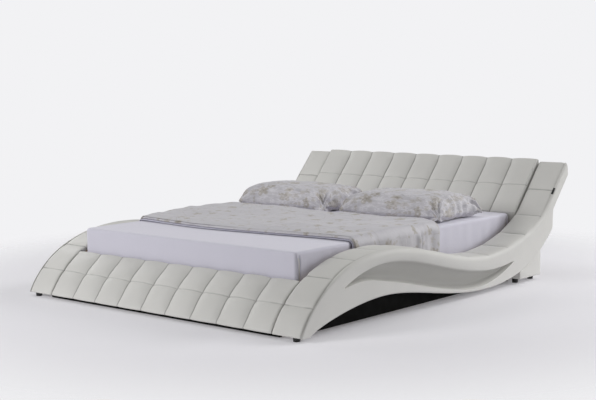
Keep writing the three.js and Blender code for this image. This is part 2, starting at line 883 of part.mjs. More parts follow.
function makeBeam() {
  const rectangle = (inset) => [
    [-beamWidth / 2 + inset, beamTop - beamDepth + inset],
    [beamWidth / 2 - inset, beamTop - beamDepth + inset],
    [beamWidth / 2 - inset, beamTop - inset],
    [-beamWidth / 2 + inset, beamTop - inset],
  ];
  const tube = alongBed(rectangle(0), beamStart, beamEnd, [rectangle(beamWall).reverse()]);
  addPiece('centre_beam', tube, 'steel');
}

// A U-shaped steel hanger: a back plate on the board, two cheeks and a floor under the beam.
function hangerSolid(faceY, inwardSign) {
  const plateNear = faceY + inwardSign * seatGap;
  const plateFar = plateNear + inwardSign * hangerWall;
  const cheekEnd = plateNear + inwardSign * hangerDepth;
  const floorTop = beamTop - beamDepth - seatGap;
  const inner = beamWidth / 2 + seatGap;
  const outer = inner + hangerWall;
  const span = (xa, xb, ya, yb, za, zb) => box(
    new THREE.Vector3(xa, Math.min(ya, yb), za),
    new THREE.Vector3(xb, Math.max(ya, yb), zb),
  );
  const base = floorTop - hangerWall;
  const top = beamTop - beamWall;
  return joined([
    span(-outer - hangerEar, outer + hangerEar, plateNear, plateFar, base, top),
    span(-outer, -inner, plateNear, cheekEnd, base, top),
    span(inner, outer, plateNear, cheekEnd, base, top),
    span(-outer, outer, plateNear, cheekEnd, base, floorTop),
  ]);
}

// A corner bracket: two steel legs at a right angle with a hexagon bolt head on each.
function cornerBracket(cornerY, baseZ, alongSign, sideLeg) {
  const sideFace = insideHalf - seatGap;
  const boardFace = cornerY + alongSign * seatGap;
  const top = baseZ + bracketHeight;
  const ordered = (a, b) => [Math.min(a, b), Math.max(a, b)];
  const [sideNear, sideFar] = ordered(boardFace, boardFace + alongSign * sideLeg);
  const [plateNear, plateFar] = ordered(boardFace, boardFace + alongSign * bracketWall);
  const middle = bracketLeg / 2 + bracketWall;
  const sideMiddle = sideLeg - bracketLeg / 2;
  const outermost = new THREE.Vector3(sideFace, sideFar, top);
  const boltRadius = boltHeadAcross / 2;
  const boltHead = () => new THREE.CylinderGeometry(boltRadius, boltRadius, boltHeadHeight, 6);
  const headSeat = bracketWall + boltHeadHeight / 2 - seatGap;
  const sideHead = boltHead().rotateZ(Math.PI / 2);
  sideHead.translate(sideFace - headSeat, boardFace + alongSign * sideMiddle, (baseZ + top) / 2);
  const boardHead = boltHead();
  boardHead.translate(sideFace - middle, boardFace + alongSign * headSeat, (baseZ + top) / 2);
  return joined([
    box(new THREE.Vector3(sideFace - bracketWall, sideNear, baseZ), outermost),
    box(new THREE.Vector3(sideFace - bracketLeg, plateNear, baseZ), outermost.clone().setY(plateFar)),
    sideHead,
    boardHead,
  ]);
}

function makeHardware() {
  addPiece('beam_hanger_foot', hangerSolid(-footFit, 1), 'steel');
  addPiece('beam_hanger_head', hangerSolid(headCoreFront, -1), 'steel');
  const base = beamTop - ledgeWall - bracketHeight - seatGap;
  const foot = cornerBracket(-footFit, base, 1, bracketLeg);
  addPiece('corner_bracket_foot_right', foot, 'steel');
  addPiece('corner_bracket_foot_left', mirrored(foot), 'steel');
  const head = cornerBracket(headCoreFront, base, -1, longBracketLeg);
  addPiece('corner_bracket_head_right', head, 'steel');
  addPiece('corner_bracket_head_left', mirrored(head), 'steel');
}

// Centre legs and their screw glides

const legBottom = glideThickness + glideTravel + glideStop;
const legTop = beamTop - beamDepth - seatGap;

function legProfile() {
  const flangeUnder = legTop - legFlangeThickness;
  const innerRadius = legRadius - legWall;
  const boreRadius = stemRadius + stemFit;
  return [
    [0, flangeUnder],
    [innerRadius, flangeUnder],
    [innerRadius, legBottom + insertLength],
    [boreRadius, legBottom + insertLength],
    [boreRadius, legBottom],
    [legRadius, legBottom],
    [legRadius, flangeUnder],
    [legFlangeRadius, flangeUnder],
    [legFlangeRadius, legTop],
    [0, legTop],
  ];
}

function glideProfile() {
  return [
    [0, 0],
    [glideRadius * (1 - glideInsetShare), 0],
    [glideRadius, glideThickness * glideRimShare],
    [glideRadius, glideThickness * (1 - glideRimShare)],
    [stemRadius * 2, glideThickness],
    [stemRadius, glideThickness],
    [stemRadius, legBottom + stemInside],
    [0, legBottom + stemInside],
  ];
}

function makeLegs() {
  legShares.forEach((share, i) => {
    const leg = addPiece(`centre_leg_${i + 1}`, lathe(legProfile()), 'steel');
    const glide = addPiece(`leg_glide_${i + 1}`, lathe(glideProfile()), 'plastic');
    leg.position.setY(mattressLength * share);
    glide.position.setY(mattressLength * share);
  });
}

// Floor feet

function addFoot(name, x, y, topZ) {
  const profile = [[0, 0], [footRadius - footTaper, 0], [footRadius, topZ], [0, topZ]];
  const foot = addPiece(name, lathe(profile), 'plastic');
  foot.position.set(x, y, 0);
}

function makeFeet() {
  const x = outsideHalf - blockFootInset;
  const [frontSetback, backSetback] = blockFootSetbacks;
  const behindRunner = -toeReach + footRunnerInset + runnerThickness + seatGap + footRadius;
  const places = {
    toe_foot: [outsideHalf - toeFootInset, -toeReach + toeFootSetback, toeGap],
    footboard_foot: [insideHalf - footboardFootInset, behindRunner, toeGap],
    rear_foot_front: [x, blockStart + frontSetback, blockGap],
    rear_foot_back: [x, blockEnd - backSetback, blockGap],
  };
  Object.entries(places).forEach(([name, [footX, y, gap]]) => {
    addFoot(`${name}_right`, footX, y, gap - seatGap);
    addFoot(`${name}_left`, -footX, y, gap - seatGap);
  });
}

// Mattress and fitted sheet

// A rounded rectangle as points, from the mattress's size less an inset.
function roundedOutline(inset) {
  const half = new THREE.Vector2(mattressWidth / 2 - inset, mattressLength / 2 - inset);
  const radius = Math.max(mattressCornerRadius - inset, mattressCornerRadius * cornerRadiusFloorShare);
  const points = [];
  for (let quarter = 0; quarter < 4; quarter += 1) {
    const signX = quarter === 0 || quarter === 3 ? 1 : -1;
    const signY = quarter < 2 ? 1 : -1;
    for (let step = 0; step <= mattressCornerSteps; step += 1) {
      const angle = (quarter + step / mattressCornerSteps) * Math.PI / 2;
      points.push(new THREE.Vector2(
        signX * (half.x - radius) + radius * Math.cos(angle),
        mattressLength / 2 + signY * (half.y - radius) + radius * Math.sin(angle),
      ));
    }
  }
  return points;
}

// Rings up the side of the mattress, over its rounded edge and in to the crowned top.
function beddingRings(inset, base, top) {
  const rings = [];
  const ring = (sideInset, z) => {
    rings.push(roundedOutline(inset + sideInset).map(({ x, y }) => new THREE.Vector3(x, y, z)));
  };
  const straight = top - mattressEdgeRadius;
  ring(0, base);
  ring(mattressWaist, (base + straight) / 2);
  mattressEdgeShares.forEach((share) => {
    const angle = share * Math.PI / 2;
    ring(mattressEdgeRadius * (1 - Math.cos(angle)), straight + mattressEdgeRadius * Math.sin(angle));
  });
  ring(mattressShoulder, top + mattressCrown * shoulderCrownShare);
  return rings;
}

function domeFaces(rings, centre, start, flip) {
  const count = rings[0].length;
  const faces = [];
  for (let i = 1; i < rings.length; i += 1) {
    for (let j = 0; j < count; j += 1) {
      const k = (j + 1) % count;
      const [near, far] = [start + (i - 1) * count, start + i * count];
      faces.push(...quad(near + j, near + k, far + k, far + j));
    }
  }
  const last = start + (rings.length - 1) * count;
  for (let j = 0; j < count; j += 1) {
    faces.push([last + j, last + ((j + 1) % count), centre]);
  }
  return flip ? faces.map(([a, b, c]) => [a, c, b]) : faces;
}

function makeMattress() {
  const inset = sheetThickness + seatGap;
  const top = mattressTop - sheetThickness - seatGap;
  const rings = beddingRings(inset, sheetBase + sheetHemRise / 2, top);
  const underside = roundedOutline(inset + mattressEdgeRadius / 2);
  const foot = underside.map(({ x, y }) => new THREE.Vector3(x, y, sheetBase));
  rings.unshift(foot);
  const points = rings.flat();
  const middle = mattressLength / 2;
  points.push(new THREE.Vector3(0, middle, top + mattressCrown), new THREE.Vector3(0, middle, sheetBase));
  const faces = domeFaces(rings, points.length - 2, 0, false);
  for (let j = 0; j < foot.length; j += 1) {
    faces.push([(j + 1) % foot.length, j, points.length - 1]);
  }
  addPiece('mattress', solidFrom(points, faces), 'ticking');

  const outer = beddingRings(0, sheetBase + sheetHemRise, mattressTop);
  const inner = beddingRings(sheetThickness, sheetBase + sheetHemRise, mattressTop - sheetThickness);
  const sheetPoints = [...outer.flat(), ...inner.flat()];
  const innerStart = outer.flat().length;
  sheetPoints.push(
    new THREE.Vector3(0, middle, mattressTop + mattressCrown),
    new THREE.Vector3(0, middle, mattressTop + mattressCrown - sheetThickness),
  );
  const count = outer[0].length;
  const sheetFaces = [
    ...domeFaces(outer, sheetPoints.length - 2, 0, false),
    ...domeFaces(inner, sheetPoints.length - 1, innerStart, true),
  ];
  for (let j = 0; j < count; j += 1) {
    const k = (j + 1) % count;
    sheetFaces.push(...quad(k, j, innerStart + j, innerStart + k));
  }
  addPiece('fitted_sheet', solidFrom(sheetPoints, sheetFaces), 'sheet');
}

// Duvet: a quilt laid over the mattress, with a flap hanging down each side

function duvetSection() {
  const inner = mattressWidth / 2 + duvetSideFit;
  const outer = inner + duvetFlapThickness;
  const outside = [];
  const inside = [];
  duvetFlapShares.forEach((share) => {
    outside.push({ x: -outer, drop: duvetHang * share, top: 0 });
    inside.push({ x: -inner, drop: duvetHang * share, top: 0 });
  });
  duvetTopShares.forEach((share) => {
    const rounding = Math.max(0, (Math.abs(share) - duvetEdgeShare) / (1 - duvetEdgeShare));
    outside.push({ x: outer * share, drop: rounding * duvetThickness * duvetEdgeDropShare, top: 1 });
    inside.push({ x: inner * share, drop: rounding * mattressEdgeRadius * duvetLiningDropShare, top: 1 });
  });
  [...duvetFlapShares].reverse().forEach((share) => {
    outside.push({ x: outer, drop: duvetHang * share, top: 0 });
    inside.push({ x: inner, drop: duvetHang * share, top: 0 });
  });
  return { outside, inside };
}

function makeDuvet() {
  const { outside, inside } = duvetSection();
  const halfOuter = outside[outside.length - 1].x;
  const halfInner = inside[inside.length - 1].x;
  const headY = mattressLength * duvetHeadShare;
  const footY = (x) => {
    const share = THREE.MathUtils.clamp(x / halfOuter, -1, 1);
    return mattressLength * tableValue(duvetFootShares, (share + 1) / 2);
  };
  const rings = [];
  for (let step = 0; step <= duvetLengthSteps; step += 1) {
    const share = step / duvetLengthSteps;
    const rounded = edgeFade(Math.min(share, 1 - share), 1 / duvetLengthSteps);
    const ring = [];
    outside.forEach(({ x, drop, top }) => {
      const y = THREE.MathUtils.lerp(footY(x), headY, share);
      const across = Math.cos((Math.PI / 2) * (x / halfOuter));
      const swell = duvetLoft + duvetFoldHeight * Math.sin(duvetFoldCount * Math.PI * share);
      const puff = top * across * swell * (1 - rounded);
      const endDrop = top * rounded * duvetThickness * duvetEndDropShare;
      const z = beddingBase + duvetThickness + puff - endDrop - drop;
      const fold = (1 - top) * flapFoldDepth * Math.sin(flapFoldCount * Math.PI * share);
      ring.push(new THREE.Vector3(x + Math.sign(x) * fold, y, z));
    });
    [...inside].reverse().forEach(({ x, drop }) => {
      const y = THREE.MathUtils.lerp(footY(x * (halfOuter / halfInner)), headY, share);
      ring.push(new THREE.Vector3(x, y, beddingBase - drop));
    });
    rings.push(ring);
  }
  const flat = (ring) => ring.map(({ x, z }) => new THREE.Vector2(x, z));
  addPiece('duvet', ringSolid(rings, rings.map(flat)), 'print');
}

// Pillows: crowned, with sides drawn in between pointed corners

function pillowSolid() {
  const [columns, rows] = pillowSteps;
  const halfWidth = pillowWidth / 2;
  const halfDepth = pillowDepth / 2;
  const spread = (step, count) => Math.sin((Math.PI / 2) * (2 * step / count - 1));
  const points = [];
  const upper = [];
  const lower = [];
  for (let i = 0; i <= columns; i += 1) {
    for (let j = 0; j <= rows; j += 1) {
      const u = spread(i, columns);
      const v = spread(j, rows);
      const x = u * (halfWidth - pillowPull * (1 - v * v) * Math.abs(u));
      const y = v * (halfDepth - pillowPull * (1 - u * u) * Math.abs(v));
      const fullness = Math.max(0, 1 - u * u) ** pillowEndPower * Math.max(0, 1 - v * v) ** pillowFrontPower;
      const index = i * (rows + 1) + j;
      const rise = (pillowHeight - pillowSeamHeight) * fullness;
      const fall = pillowSeamHeight * Math.min(1, fullness / pillowFloorShare);
      const onSeam = i === 0 || j === 0 || i === columns || j === rows;
      upper[index] = points.push(new THREE.Vector3(x, y, rise)) - 1;
      lower[index] = onSeam ? upper[index] : points.push(new THREE.Vector3(x, y, -fall)) - 1;
    }
  }
  const faces = [];
  for (let i = 0; i < columns; i += 1) {
    for (let j = 0; j < rows; j += 1) {
      const corner = i * (rows + 1) + j;
      const corners = [corner, corner + rows + 1, corner + rows + 2, corner + 1];
      faces.push(...quad(...corners.map((k) => upper[k])));
      faces.push(...quad(...corners.map((k) => lower[k])).map(([a, b, c]) => [a, c, b]));
    }
  }
  return solidFrom(points, faces);
}

function makePillows() {
  const y = mattressLength * duvetHeadShare + pillowFrontGap + pillowDepth / 2;
  const seamZ = beddingBase + pillowSeamHeight;
  const [leftX, rightX] = pillowCentres;
  addPiece('pillow_left', pillowSolid(), 'print').position.set(leftX, y, seamZ);
  addPiece('pillow_right', pillowSolid(), 'print').position.set(rightX, y, seamZ);
}

// Plain tab sewn at the edge of the right-hand band

function makeTab() {
  const stations = [tabFromTop, tabFromTop + tabLength].map((fromTop) => stationAt(waveLength - fromTop));
  const ridge = ridgeWidthAt(stations[0]);
  const drop = Math.min(ridgeRoll, ridge * rollRidgeShare) * rollRunShare;
  const start = outsideHalf - ridge * (1 - rollRunShare);
  const outline = [
    new THREE.Vector2(start, -seatGap),
    new THREE.Vector2(outsideHalf - drop, drop - seatGap),
    new THREE.Vector2(outsideHalf - drop, drop - seatGap - tabThickness),
    new THREE.Vector2(start, -seatGap - tabThickness),
  ];
  const rings = stations.map((station) => outline.map(({ x, y }) => stationPoint(station, x, y)));
  addPiece('edge_tab', ringSolid(rings, [outline, outline]), 'tab');
}

makeSides();
makeFootboard();
makeHeadboard();
makeSupports();
makeSlats();
makeLedges();
makeBeam();
makeHardware();
makeLegs();
makeFeet();
makeMattress();
makeDuvet();
makePillows();
makeTab();

// The part's origin is on the floor under the middle of the whole bed.
const extent = new THREE.Box3().setFromObject(bed);
const assembly = new THREE.Group();
bed.position.y = -(extent.min.y + extent.max.y) / 2;
assembly.add(bed);
assembly.updateMatrixWorld(true);

export default assembly;
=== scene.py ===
"""A leather bed whose sides follow one long wave, dressed around its fixed frame.

Metres. X runs across the bed, Y from the foot to the head, Z up from the floor.
"""

import json
import math
from contextlib import contextmanager
from itertools import product

import bpy
import numpy as np
from mathutils import Matrix, Vector


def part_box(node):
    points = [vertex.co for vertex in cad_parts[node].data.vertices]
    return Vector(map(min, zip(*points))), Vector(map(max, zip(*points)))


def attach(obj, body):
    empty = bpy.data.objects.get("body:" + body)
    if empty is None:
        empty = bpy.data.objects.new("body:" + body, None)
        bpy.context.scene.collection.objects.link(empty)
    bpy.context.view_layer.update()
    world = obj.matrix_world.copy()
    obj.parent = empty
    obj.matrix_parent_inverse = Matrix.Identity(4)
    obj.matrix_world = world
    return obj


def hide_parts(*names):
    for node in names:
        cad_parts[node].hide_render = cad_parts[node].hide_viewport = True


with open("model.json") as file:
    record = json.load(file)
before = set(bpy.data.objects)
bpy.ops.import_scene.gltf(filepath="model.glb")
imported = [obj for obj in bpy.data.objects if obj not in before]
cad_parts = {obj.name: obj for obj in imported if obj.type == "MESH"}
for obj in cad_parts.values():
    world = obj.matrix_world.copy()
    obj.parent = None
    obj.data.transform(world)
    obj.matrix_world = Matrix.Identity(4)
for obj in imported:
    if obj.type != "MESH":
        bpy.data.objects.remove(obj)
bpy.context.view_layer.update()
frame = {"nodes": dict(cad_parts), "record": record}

bl_info = {
    "name": "Wave Bed",
    "version": (1, 0, 0),
    "blender": (4, 5, 0),
    "location": "View3D > Sidebar > Wave Bed",
    "description": "Leather pads, bedding and finishes for a wave-shaped bed",
    "category": "Object",
}

# Places and sizes read from the frame
RIB_LOW, RIB_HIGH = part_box("side_rib_right")
SHEET_LOW, SHEET_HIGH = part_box("fitted_sheet")
MATTRESS_LOW, MATTRESS_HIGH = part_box("mattress")
DUVET_LOW, DUVET_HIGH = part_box("duvet")
DECK_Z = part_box("slat_01")[1].z
FOOT_Y = SHEET_LOW.y
MIDDLE_Y = (SHEET_LOW.y + SHEET_HIGH.y) / 2
MATTRESS_LENGTH = SHEET_HIGH.y - SHEET_LOW.y
INSIDE_HALF = RIB_LOW.x
OUTSIDE_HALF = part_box("side_panel_right")[1].x

# The wave that each side follows, in metres from the foot of the mattress
TOE_REACH = 0.236
TOE_DEPTH = 0.073
TOE_GAP = 0.020
CREST_HEIGHT = 0.364
TROUGH_HEIGHT = 0.218
HEAD_HEIGHT = 0.690
HEAD_REACH = 0.296
HEAD_STRAIGHT = 0.350
HEAD_SLOPE = math.radians(47.8)
HEAD_THICKNESS = 0.070
HEAD_TOP_SETBACK = 0.055
KNEE_SETBACK = 0.272
KNEE_DROP = 0.110
ARCH_HEIGHT = 0.131
BELLY_HEIGHT = 0.028
PAD_THICKNESS = 0.026
SEAT_GAP = 0.0003
CREST_SHARE, TROUGH_SHARE = 0.23, 0.71
ARCH_SHARE, BELLY_SHARE = 0.215, 0.69
KNEE_STATION_SHARE = 0.31

# Handles of the wave's curves, as shares in Y and Z of the way to the curve's other end
TOE_OUT, CREST_IN = (0.092, 0.388), (0.628, 0)
CREST_OUT, TROUGH_IN = (0.354, 0), (0.354, 0)
TROUGH_OUT, SLOPE_IN_SHARE = (0.33, 0), 0.28
UNDER_TOE_OUT, ARCH_IN = (0.104, 0.349), (0.386, 0)
ARCH_OUT, BELLY_IN = (0.285, 0), (0.395, 0)
BELLY_OUT, KNEE_IN = (0.312, 0), (0.293, 0.83)

# The sculpted outer face
RIDGE_WIDTH = 0.026
RIDGE_WIDTH_SHARES = ((0, 0.2), (0.09, 0.24), (0.165, 0.95), (0.25, 0.95), (0.4, 0.6), (1, 0.55))
RIDGE_STEPS = (0.8, 0.62, 0.46, 0.32, 0.2, 0.11, 0.05, 0.015, 0.0)
RIDGE_EDGE_SHARE = 0.12
ROLL_SHARES = ((0, 0.009), (0.11, 0.012), (0.24, 0.028), (0.5, 0.03), (1, 0.028))
RIDGE_EDGE_ANGLES = (15, 45, 75)
END_ROLL = 0.010
UNDER_ROLL, UNDER_ROLL_SHARE = 0.012, 0.4
UNDER_COLUMNS = 6
FASCIA_SWELL, FASCIA_POWER = 0.011, 2.2
FASCIA_COLUMNS = 9
BELOW_SCOOP_STEPS = (0.15, 0.35, 0.6, 0.85)
SCOOP_DEPTH = 0.082
# Painted shade in the hollow of each side: how dark it is, and the share of the hollow's depth where it is
# full
SCOOP_SHADE, SCOOP_SHADE_START = 0.46, 0.3
CREASE_DEPTH = 0.0015
CREASE_WIDTH = 0.005
CREASE_FADE = 3
SCOOP_START_SHARE, SCOOP_END_SHARE = 0.03, 0.84
SCOOP_UPPER_SHARES = (
    (0, 0.37), (0.14, 0.3), (0.3, 0.28), (0.5, 0.31), (0.7, 0.37), (0.87, 0.46), (1, 0.5),
)
SCOOP_LOWER_SHARES = (
    (0, 0.4), (0.1, 0.5), (0.22, 0.67), (0.38, 0.8), (0.6, 0.89), (0.8, 0.88), (0.92, 0.7), (1, 0.52),
)
SCOOP_SECTION_SHARES = (
    (0, 0.13), (0.05, 0.3), (0.15, 0.52), (0.3, 0.72), (0.5, 0.9),
    (0.7, 1), (0.79, 1), (0.88, 0.84), (0.95, 0.4), (1, 0),
)
SCOOP_STEPS = (
    0.012, 0.03, 0.06, 0.1, 0.16, 0.23, 0.3, 0.38, 0.46, 0.54,
    0.62, 0.69, 0.76, 0.82, 0.87, 0.91, 0.95, 0.98, 1.0,
)
PANEL_STEP = 0.012
PANEL_END_STEPS = (0.0, 0.001, 0.0025, 0.005, 0.008, 0.012)
PANEL_BASE_WIDTH = 0.08

# Quilting; a seam has a reach and the share of its depth that lies in wide shoulders
COLUMN_COUNT = 9
FIRST_CELL = 0.165
CELL_PITCH = 0.204
HEADBOARD_PROUD = 0.015
HEAD_PAD_LIFT = 0.009
HEAD_FIT = 0.005
FOOT_FIT = 0.008
BEND_REACH = 0.030
SEAM_STEPS = (0.0012, 0.003, 0.0055, 0.009, 0.0135, 0.019, 0.026)
SURFACE_STEP = 0.0085
ROW_SEAM = (0.0045, 0.45)
COLUMN_SEAM = (0.0075, 0.68)
SEAM_POWER = 0.9
SHOULDER_WIDENING, SHOULDER_POWER = 4, 1.6
WANDER_REACH = 0.03
PUCKER_REACH = 0.030
PUCKER_SIZE, LARGE_PUCKER_SIZE, LARGE_PUCKER_SHARE = 0.011, 0.022, 0.6
ROW_CROWN_SHARE = 0.3
BAND_SINK, BOARD_SINK = 0.0006, 0.0008
FOOT_SIDES, HEAD_SIDES = (0.7, 0.014, 0.014), (1.0, 0.013, 0.018)
BAND_INNER_ROLL, BAND_HEAD_ROLL, BAND_OUTER_ROLL = 0.014, 0.019, 0.015
BOARD_END_ROLL = 0.014
BOARD_END_REACH, BOARD_END_SHARE = 0.06, 0.18
GROOVE_SHARES = ((0, 1), (0.1, 1), (0.17, 0.7), (0.25, 0.2), (0.35, 0.1), (1, 0.1))
HEAD_BLEND = 0.06
BAND_SHARES = np.concatenate(
    [[0, 0.008, 0.02, 0.036, 0.056], np.linspace(0.085, 0.915, 19), [0.944, 0.964, 0.98, 0.992, 1]],
)

# How much seam lines wander and pads are uneven: a height and a size
BAND_WANDER, BOARD_WANDER = (0.0025, 0.05), (0.002, 0.06)
BAND_UNEVEN, BOARD_UNEVEN = (0.0008, 0.09), (0.0012, 0.11)

# Painted shade along seams, edge grooves and gaps: how dark, and how wide
BAND_ROW_SHADE, BAND_EDGE_SHADE = (0.7, 0.0028), (0.7, 0.008)
BAND_FOOT_SHADE, BAND_HEAD_SHADE = (1, 0.005), (0.4, 0.014)
BOARD_ROW_SHADE, BOARD_COLUMN_SHADE, BOARD_SIDE_SHADE = (0.5, 0.0026), (0.85, 0.0036), (0.85, 0.0012)

# Pieces that keep the frame's form: how far their edges are rounded, and which edges and points count
BLOCK_ROUNDING = 0.007
BACK_ROUNDING = 0.003
COVERED_ROUNDING = 0.002
TAB_ROUNDING = 0.0004
SAME_POINT = 0.00005
FLAT_DEGREES, EDGE_DEGREES, LOFT_EDGE_DEGREES, MATTRESS_EDGE_DEGREES = 0.5, 35, 50, 30

# Noise on cloth is given as a height, a stretch along each axis, a size and, where it is fixed, a seed
EVEN = (1, 1, 1)

# The mattress and its sheet
CORE_INSET = 0.006
CORE_ROUNDING = 0.02
PIPING_WIDTH = 0.004
PIPING_GROOVE = {"thickness": 0.006, "depth": -0.003}
SHEET_SAG = 0.005
SHEET_EDGE = 0.018
SHEET_CORNER = 0.02
SHEET_CROWN = 0.004
SHEET_CLOTH = 0.0012
SHEET_MARGIN = 0.02
SHEET_RIM = 0.12
SHEET_CROWN_SHARE = 0.9
SHEET_CORNER_LOSS, SHEET_CORNER_LEAST = 0.3, 0.003
SHEET_LAST_HALF = 0.004
SHEET_COUNTS = (120, 150, 6)
SHEET_EASE = 0.85
SHEET_MERGE = 0.00002
SHEET_ROWS = (15, 8, 8, 22)
SHEET_WAVES, SHEET_FINE_WAVES = (1.0, (1, 1, 0.35), 0.05, 5), (0.5, (1, 1, 0.3), 0.021, 6)
SHEET_WAVE_LEAN = 0.9
SHEET_DENTS, SHEET_DENT_LEAN, SHEET_TOP_SHARE = (1.0, (0.5, 1, 1), 0.12, 8), 0.4, 0.7
PLEAT_REACH = 0.1
PLEAT_BLEND = (0.01, 0.06)
PLEAT_START, PLEAT_SLANT, PLEAT_GAP = 0.004, 0.010, 0.016
PLEAT_RIDGE, PLEAT_TUCK = (0.006, 0.007), (0.013, 0.0065)

# The duvet; its foot edge is a share of its lining's lip, a fixed inset and a height, from below upwards
DUVET_THICKNESS = 0.024
DUVET_TURN = 0.030
DUVET_CLEARANCE = 0.0006
DUVET_MARGIN = 0.013
DUVET_HEM_GAP = 0.05
DUVET_COUNTS = (62, 9, 26)
DUVET_FOOT_SHARES = ((0, 0.21), (0.35, 0.175), (0.66, 0.195), (0.92, 0.221), (1, 0.218))
DUVET_EDGE = (
    (0, 0.014, 0.0005), (0, 0.001, 0.0005), (0, -0.002, 0.0018), (0, -0.001, 0.0038), (0.35, 0.002, 0.0052),
    (1, 0.008, 0.0058), (1, 0.002, 0.0072), (1, -0.003, 0.0105), (1, -0.002, 0.0150), (1, 0.006, 0.0195),
    (0.8, 0.018, 0.0225),
)
DUVET_LINED_ROWS = 5
DUVET_INNER_START, DUVET_INNER_STEP = 0.004, 0.0015
DUVET_LIP_UNEVEN = (0.45, (1, 0, 0), 0.07, 51)
DUVET_SWELL, DUVET_SWELL_SIZE, DUVET_SWELL_SEED = 0.010, 0.22, 31
DUVET_DIMPLES, DUVET_CREASES = (0.004, EVEN, 0.07, 33), (0.0016, (1, 1.8, 1), 0.09, 34)
DUVET_SINK = 0.004
DUVET_FOOT_BLEND = (0.02, 0.09)
DUVET_PUFF_X, DUVET_PUFF, DUVET_PUFF_START, DUVET_PUFF_END = -0.74, (0.014, 0.3), (0.03, 0.3), (0.5, 0.0)
DUVET_HEAD_ROLL, DUVET_HEAD_SHARE, DUVET_FOOT_SETBACK = 0.016, 0.35, 0.4
FLAP_THINNING = 0.55
FLAP_OUTER_INSET, FLAP_INNER_INSET, FLAP_STAND = 0.010, 0.009, 0.004
FLAP_SWELL, FLAP_CREASES = (0.005, (0.25, 1, 1), 0.055, 35), (0.002, (0.7, 1, 1), 0.04, 37)
FLAP_CREASE_LAYER = (0, 0, 1.7)
FLAP_GATHERS, FLAP_GATHER_SPAN = (0.002, (0.1, 1, 1), 0.016, 39), (-0.24, -0.16)
FLAP_HANG_START, FLAP_HANG_END = (0.0, 0.05), (0.10, 0.15)
FLAP_FOLDS = ((0.21, 0.015, 0.018), (0.178, -0.010, 0.009))
DUVET_LIP = (
    (-0.83, 0.012), (-0.6, 0.017), (-0.25, 0.016), (-0.05, 0.006), (0.45, 0.003), (0.7, 0.006), (0.83, 0.009),
)
DUVET_ROWS = np.concatenate([[0.02, 0.032], np.linspace(0.05, 0.95, 62), [0.97, 0.985, 0.994, 1]])

# The pillows: their grid, the node, seed and turn in degrees of each, and how a case is sewn and blown up
PILLOW_GRID = (74, 50)
PILLOWS = (("pillow_right", 5, 1.0), ("pillow_left", 23, -1.0))
CASE_CLOTH_SHARES = (0.56, 0.62)
CASE_GRID_POWER = 1.8
CASE_WAIST_X, CASE_EAR_X, CASE_WAIST_Y, CASE_EAR_Y, CASE_EAR_POWER = 0.955, 0.045, 0.93, 0.07, 4
CASE_SEAM, CASE_SEAM_CORNER, CASE_SEAM_CORNER_POWER = 0.30, 0.16, 8
CASE_SEAM_END, CASE_SEAM_END_POWER = 0.1, 4
CASE_TOP_END_POWERS, CASE_TOP_SIDE_POWER, CASE_TOP_POWER = (9.0, 4.4), 4.0, 0.45
CASE_BASE_END_POWERS, CASE_BASE_SIDE_POWER, CASE_BASE_POWER = (16.0, 6.0), 5, 0.5
CASE_MERGE = 0.0002
CASE_CREASES, CASE_FINE_CREASES = (0.004, (0.6, 1, 1), 0.07), (0.0022, (0.45, 1, 1), 0.033)
CASE_PUCKERS, CASE_PUCKER_REACH = (0.0038, (1, 1, 0.2), 0.017), 0.03
CASE_FAN_COUNT, CASE_FAN, CASE_FAN_START = 17, (0.0065, 0.13), 0.04
CASE_FAN_STRAY, CASE_LUMPS = (2.5, EVEN, 0.08), (0.005, EVEN, 0.16)
CASE_LOOSENESS, CASE_LOOSE_SPAN = 1.1, (0.45, 0.9)
CASE_SEAT_DEPTH, CASE_SEAT_SOFTNESS = 0.004, 0.003
CASE_CLOTH = {
    "quality": 6, "mass": 0.25, "tension_stiffness": 18, "compression_stiffness": 18, "shear_stiffness": 8,
    "bending_stiffness": 0.08, "use_pressure": True, "uniform_pressure_force": 3.0, "shrink_min": -0.05,
}
CASE_FRAMES = 14
CASE_SPREAD = 0.012
TAB_STRETCH = 1.9

BASE_FINISHES = ("timber", "black_board", "steel", "plastic")

# The studio: each light's name, place and width
LIGHT_AIM = Vector((0.1, -0.1, 0.25))
LIGHTS = (
    ("overhead", (0.0, 0.0, 4.6), 4.0),
    ("foot_near", (-3.0, -7.0, 3.2), 2.4),
    ("left", (-6.0, 0.4, 3.2), 2.5),
    ("left_low", (-5.5, -4.0, 1.2), 2.0),
    ("right", (6.0, 0.6, 3.0), 2.5),
    ("right_rear", (5.5, 4.0, 1.7), 2.0),
    ("rear_high", (3.2, 5.0, 4.4), 2.5),
)
FLOOR_SIZE = 60
VIEW_DEPTH = 200


# Curves and noise


def bezier(points, t):
    """Points of a cubic curve at the parameters t."""
    a, b, c, d = (np.asarray(p, float) for p in points)
    t = np.asarray(t, float)[:, None]
    return (1 - t) ** 3 * a + 3 * (1 - t) ** 2 * t * b + 3 * (1 - t) * t**2 * c + t**3 * d


def bezier_slope(points, t):
    a, b, c, d = (np.asarray(p, float) for p in points)
    t = np.asarray(t, float)[:, None]
    return 3 * (1 - t) ** 2 * (b - a) + 6 * (1 - t) * t * (c - b) + 3 * t**2 * (d - c)


def line(a, b):
    """A straight stretch written as a cubic curve."""
    return (a, a + (b - a) / 3, a + (b - a) * 2 / 3, b)


def between(a, b, shares):
    return a + (b - a) * np.array(shares)


def curve(a, b, way_out, way_in):
    """A cubic curve whose handles lie at shares of the way from each of its ends to the other."""
    return (a, between(a, b, way_out), between(b, a, way_in), b)


def unit(vectors):
    return vectors / np.linalg.norm(vectors, axis=1)[:, None]


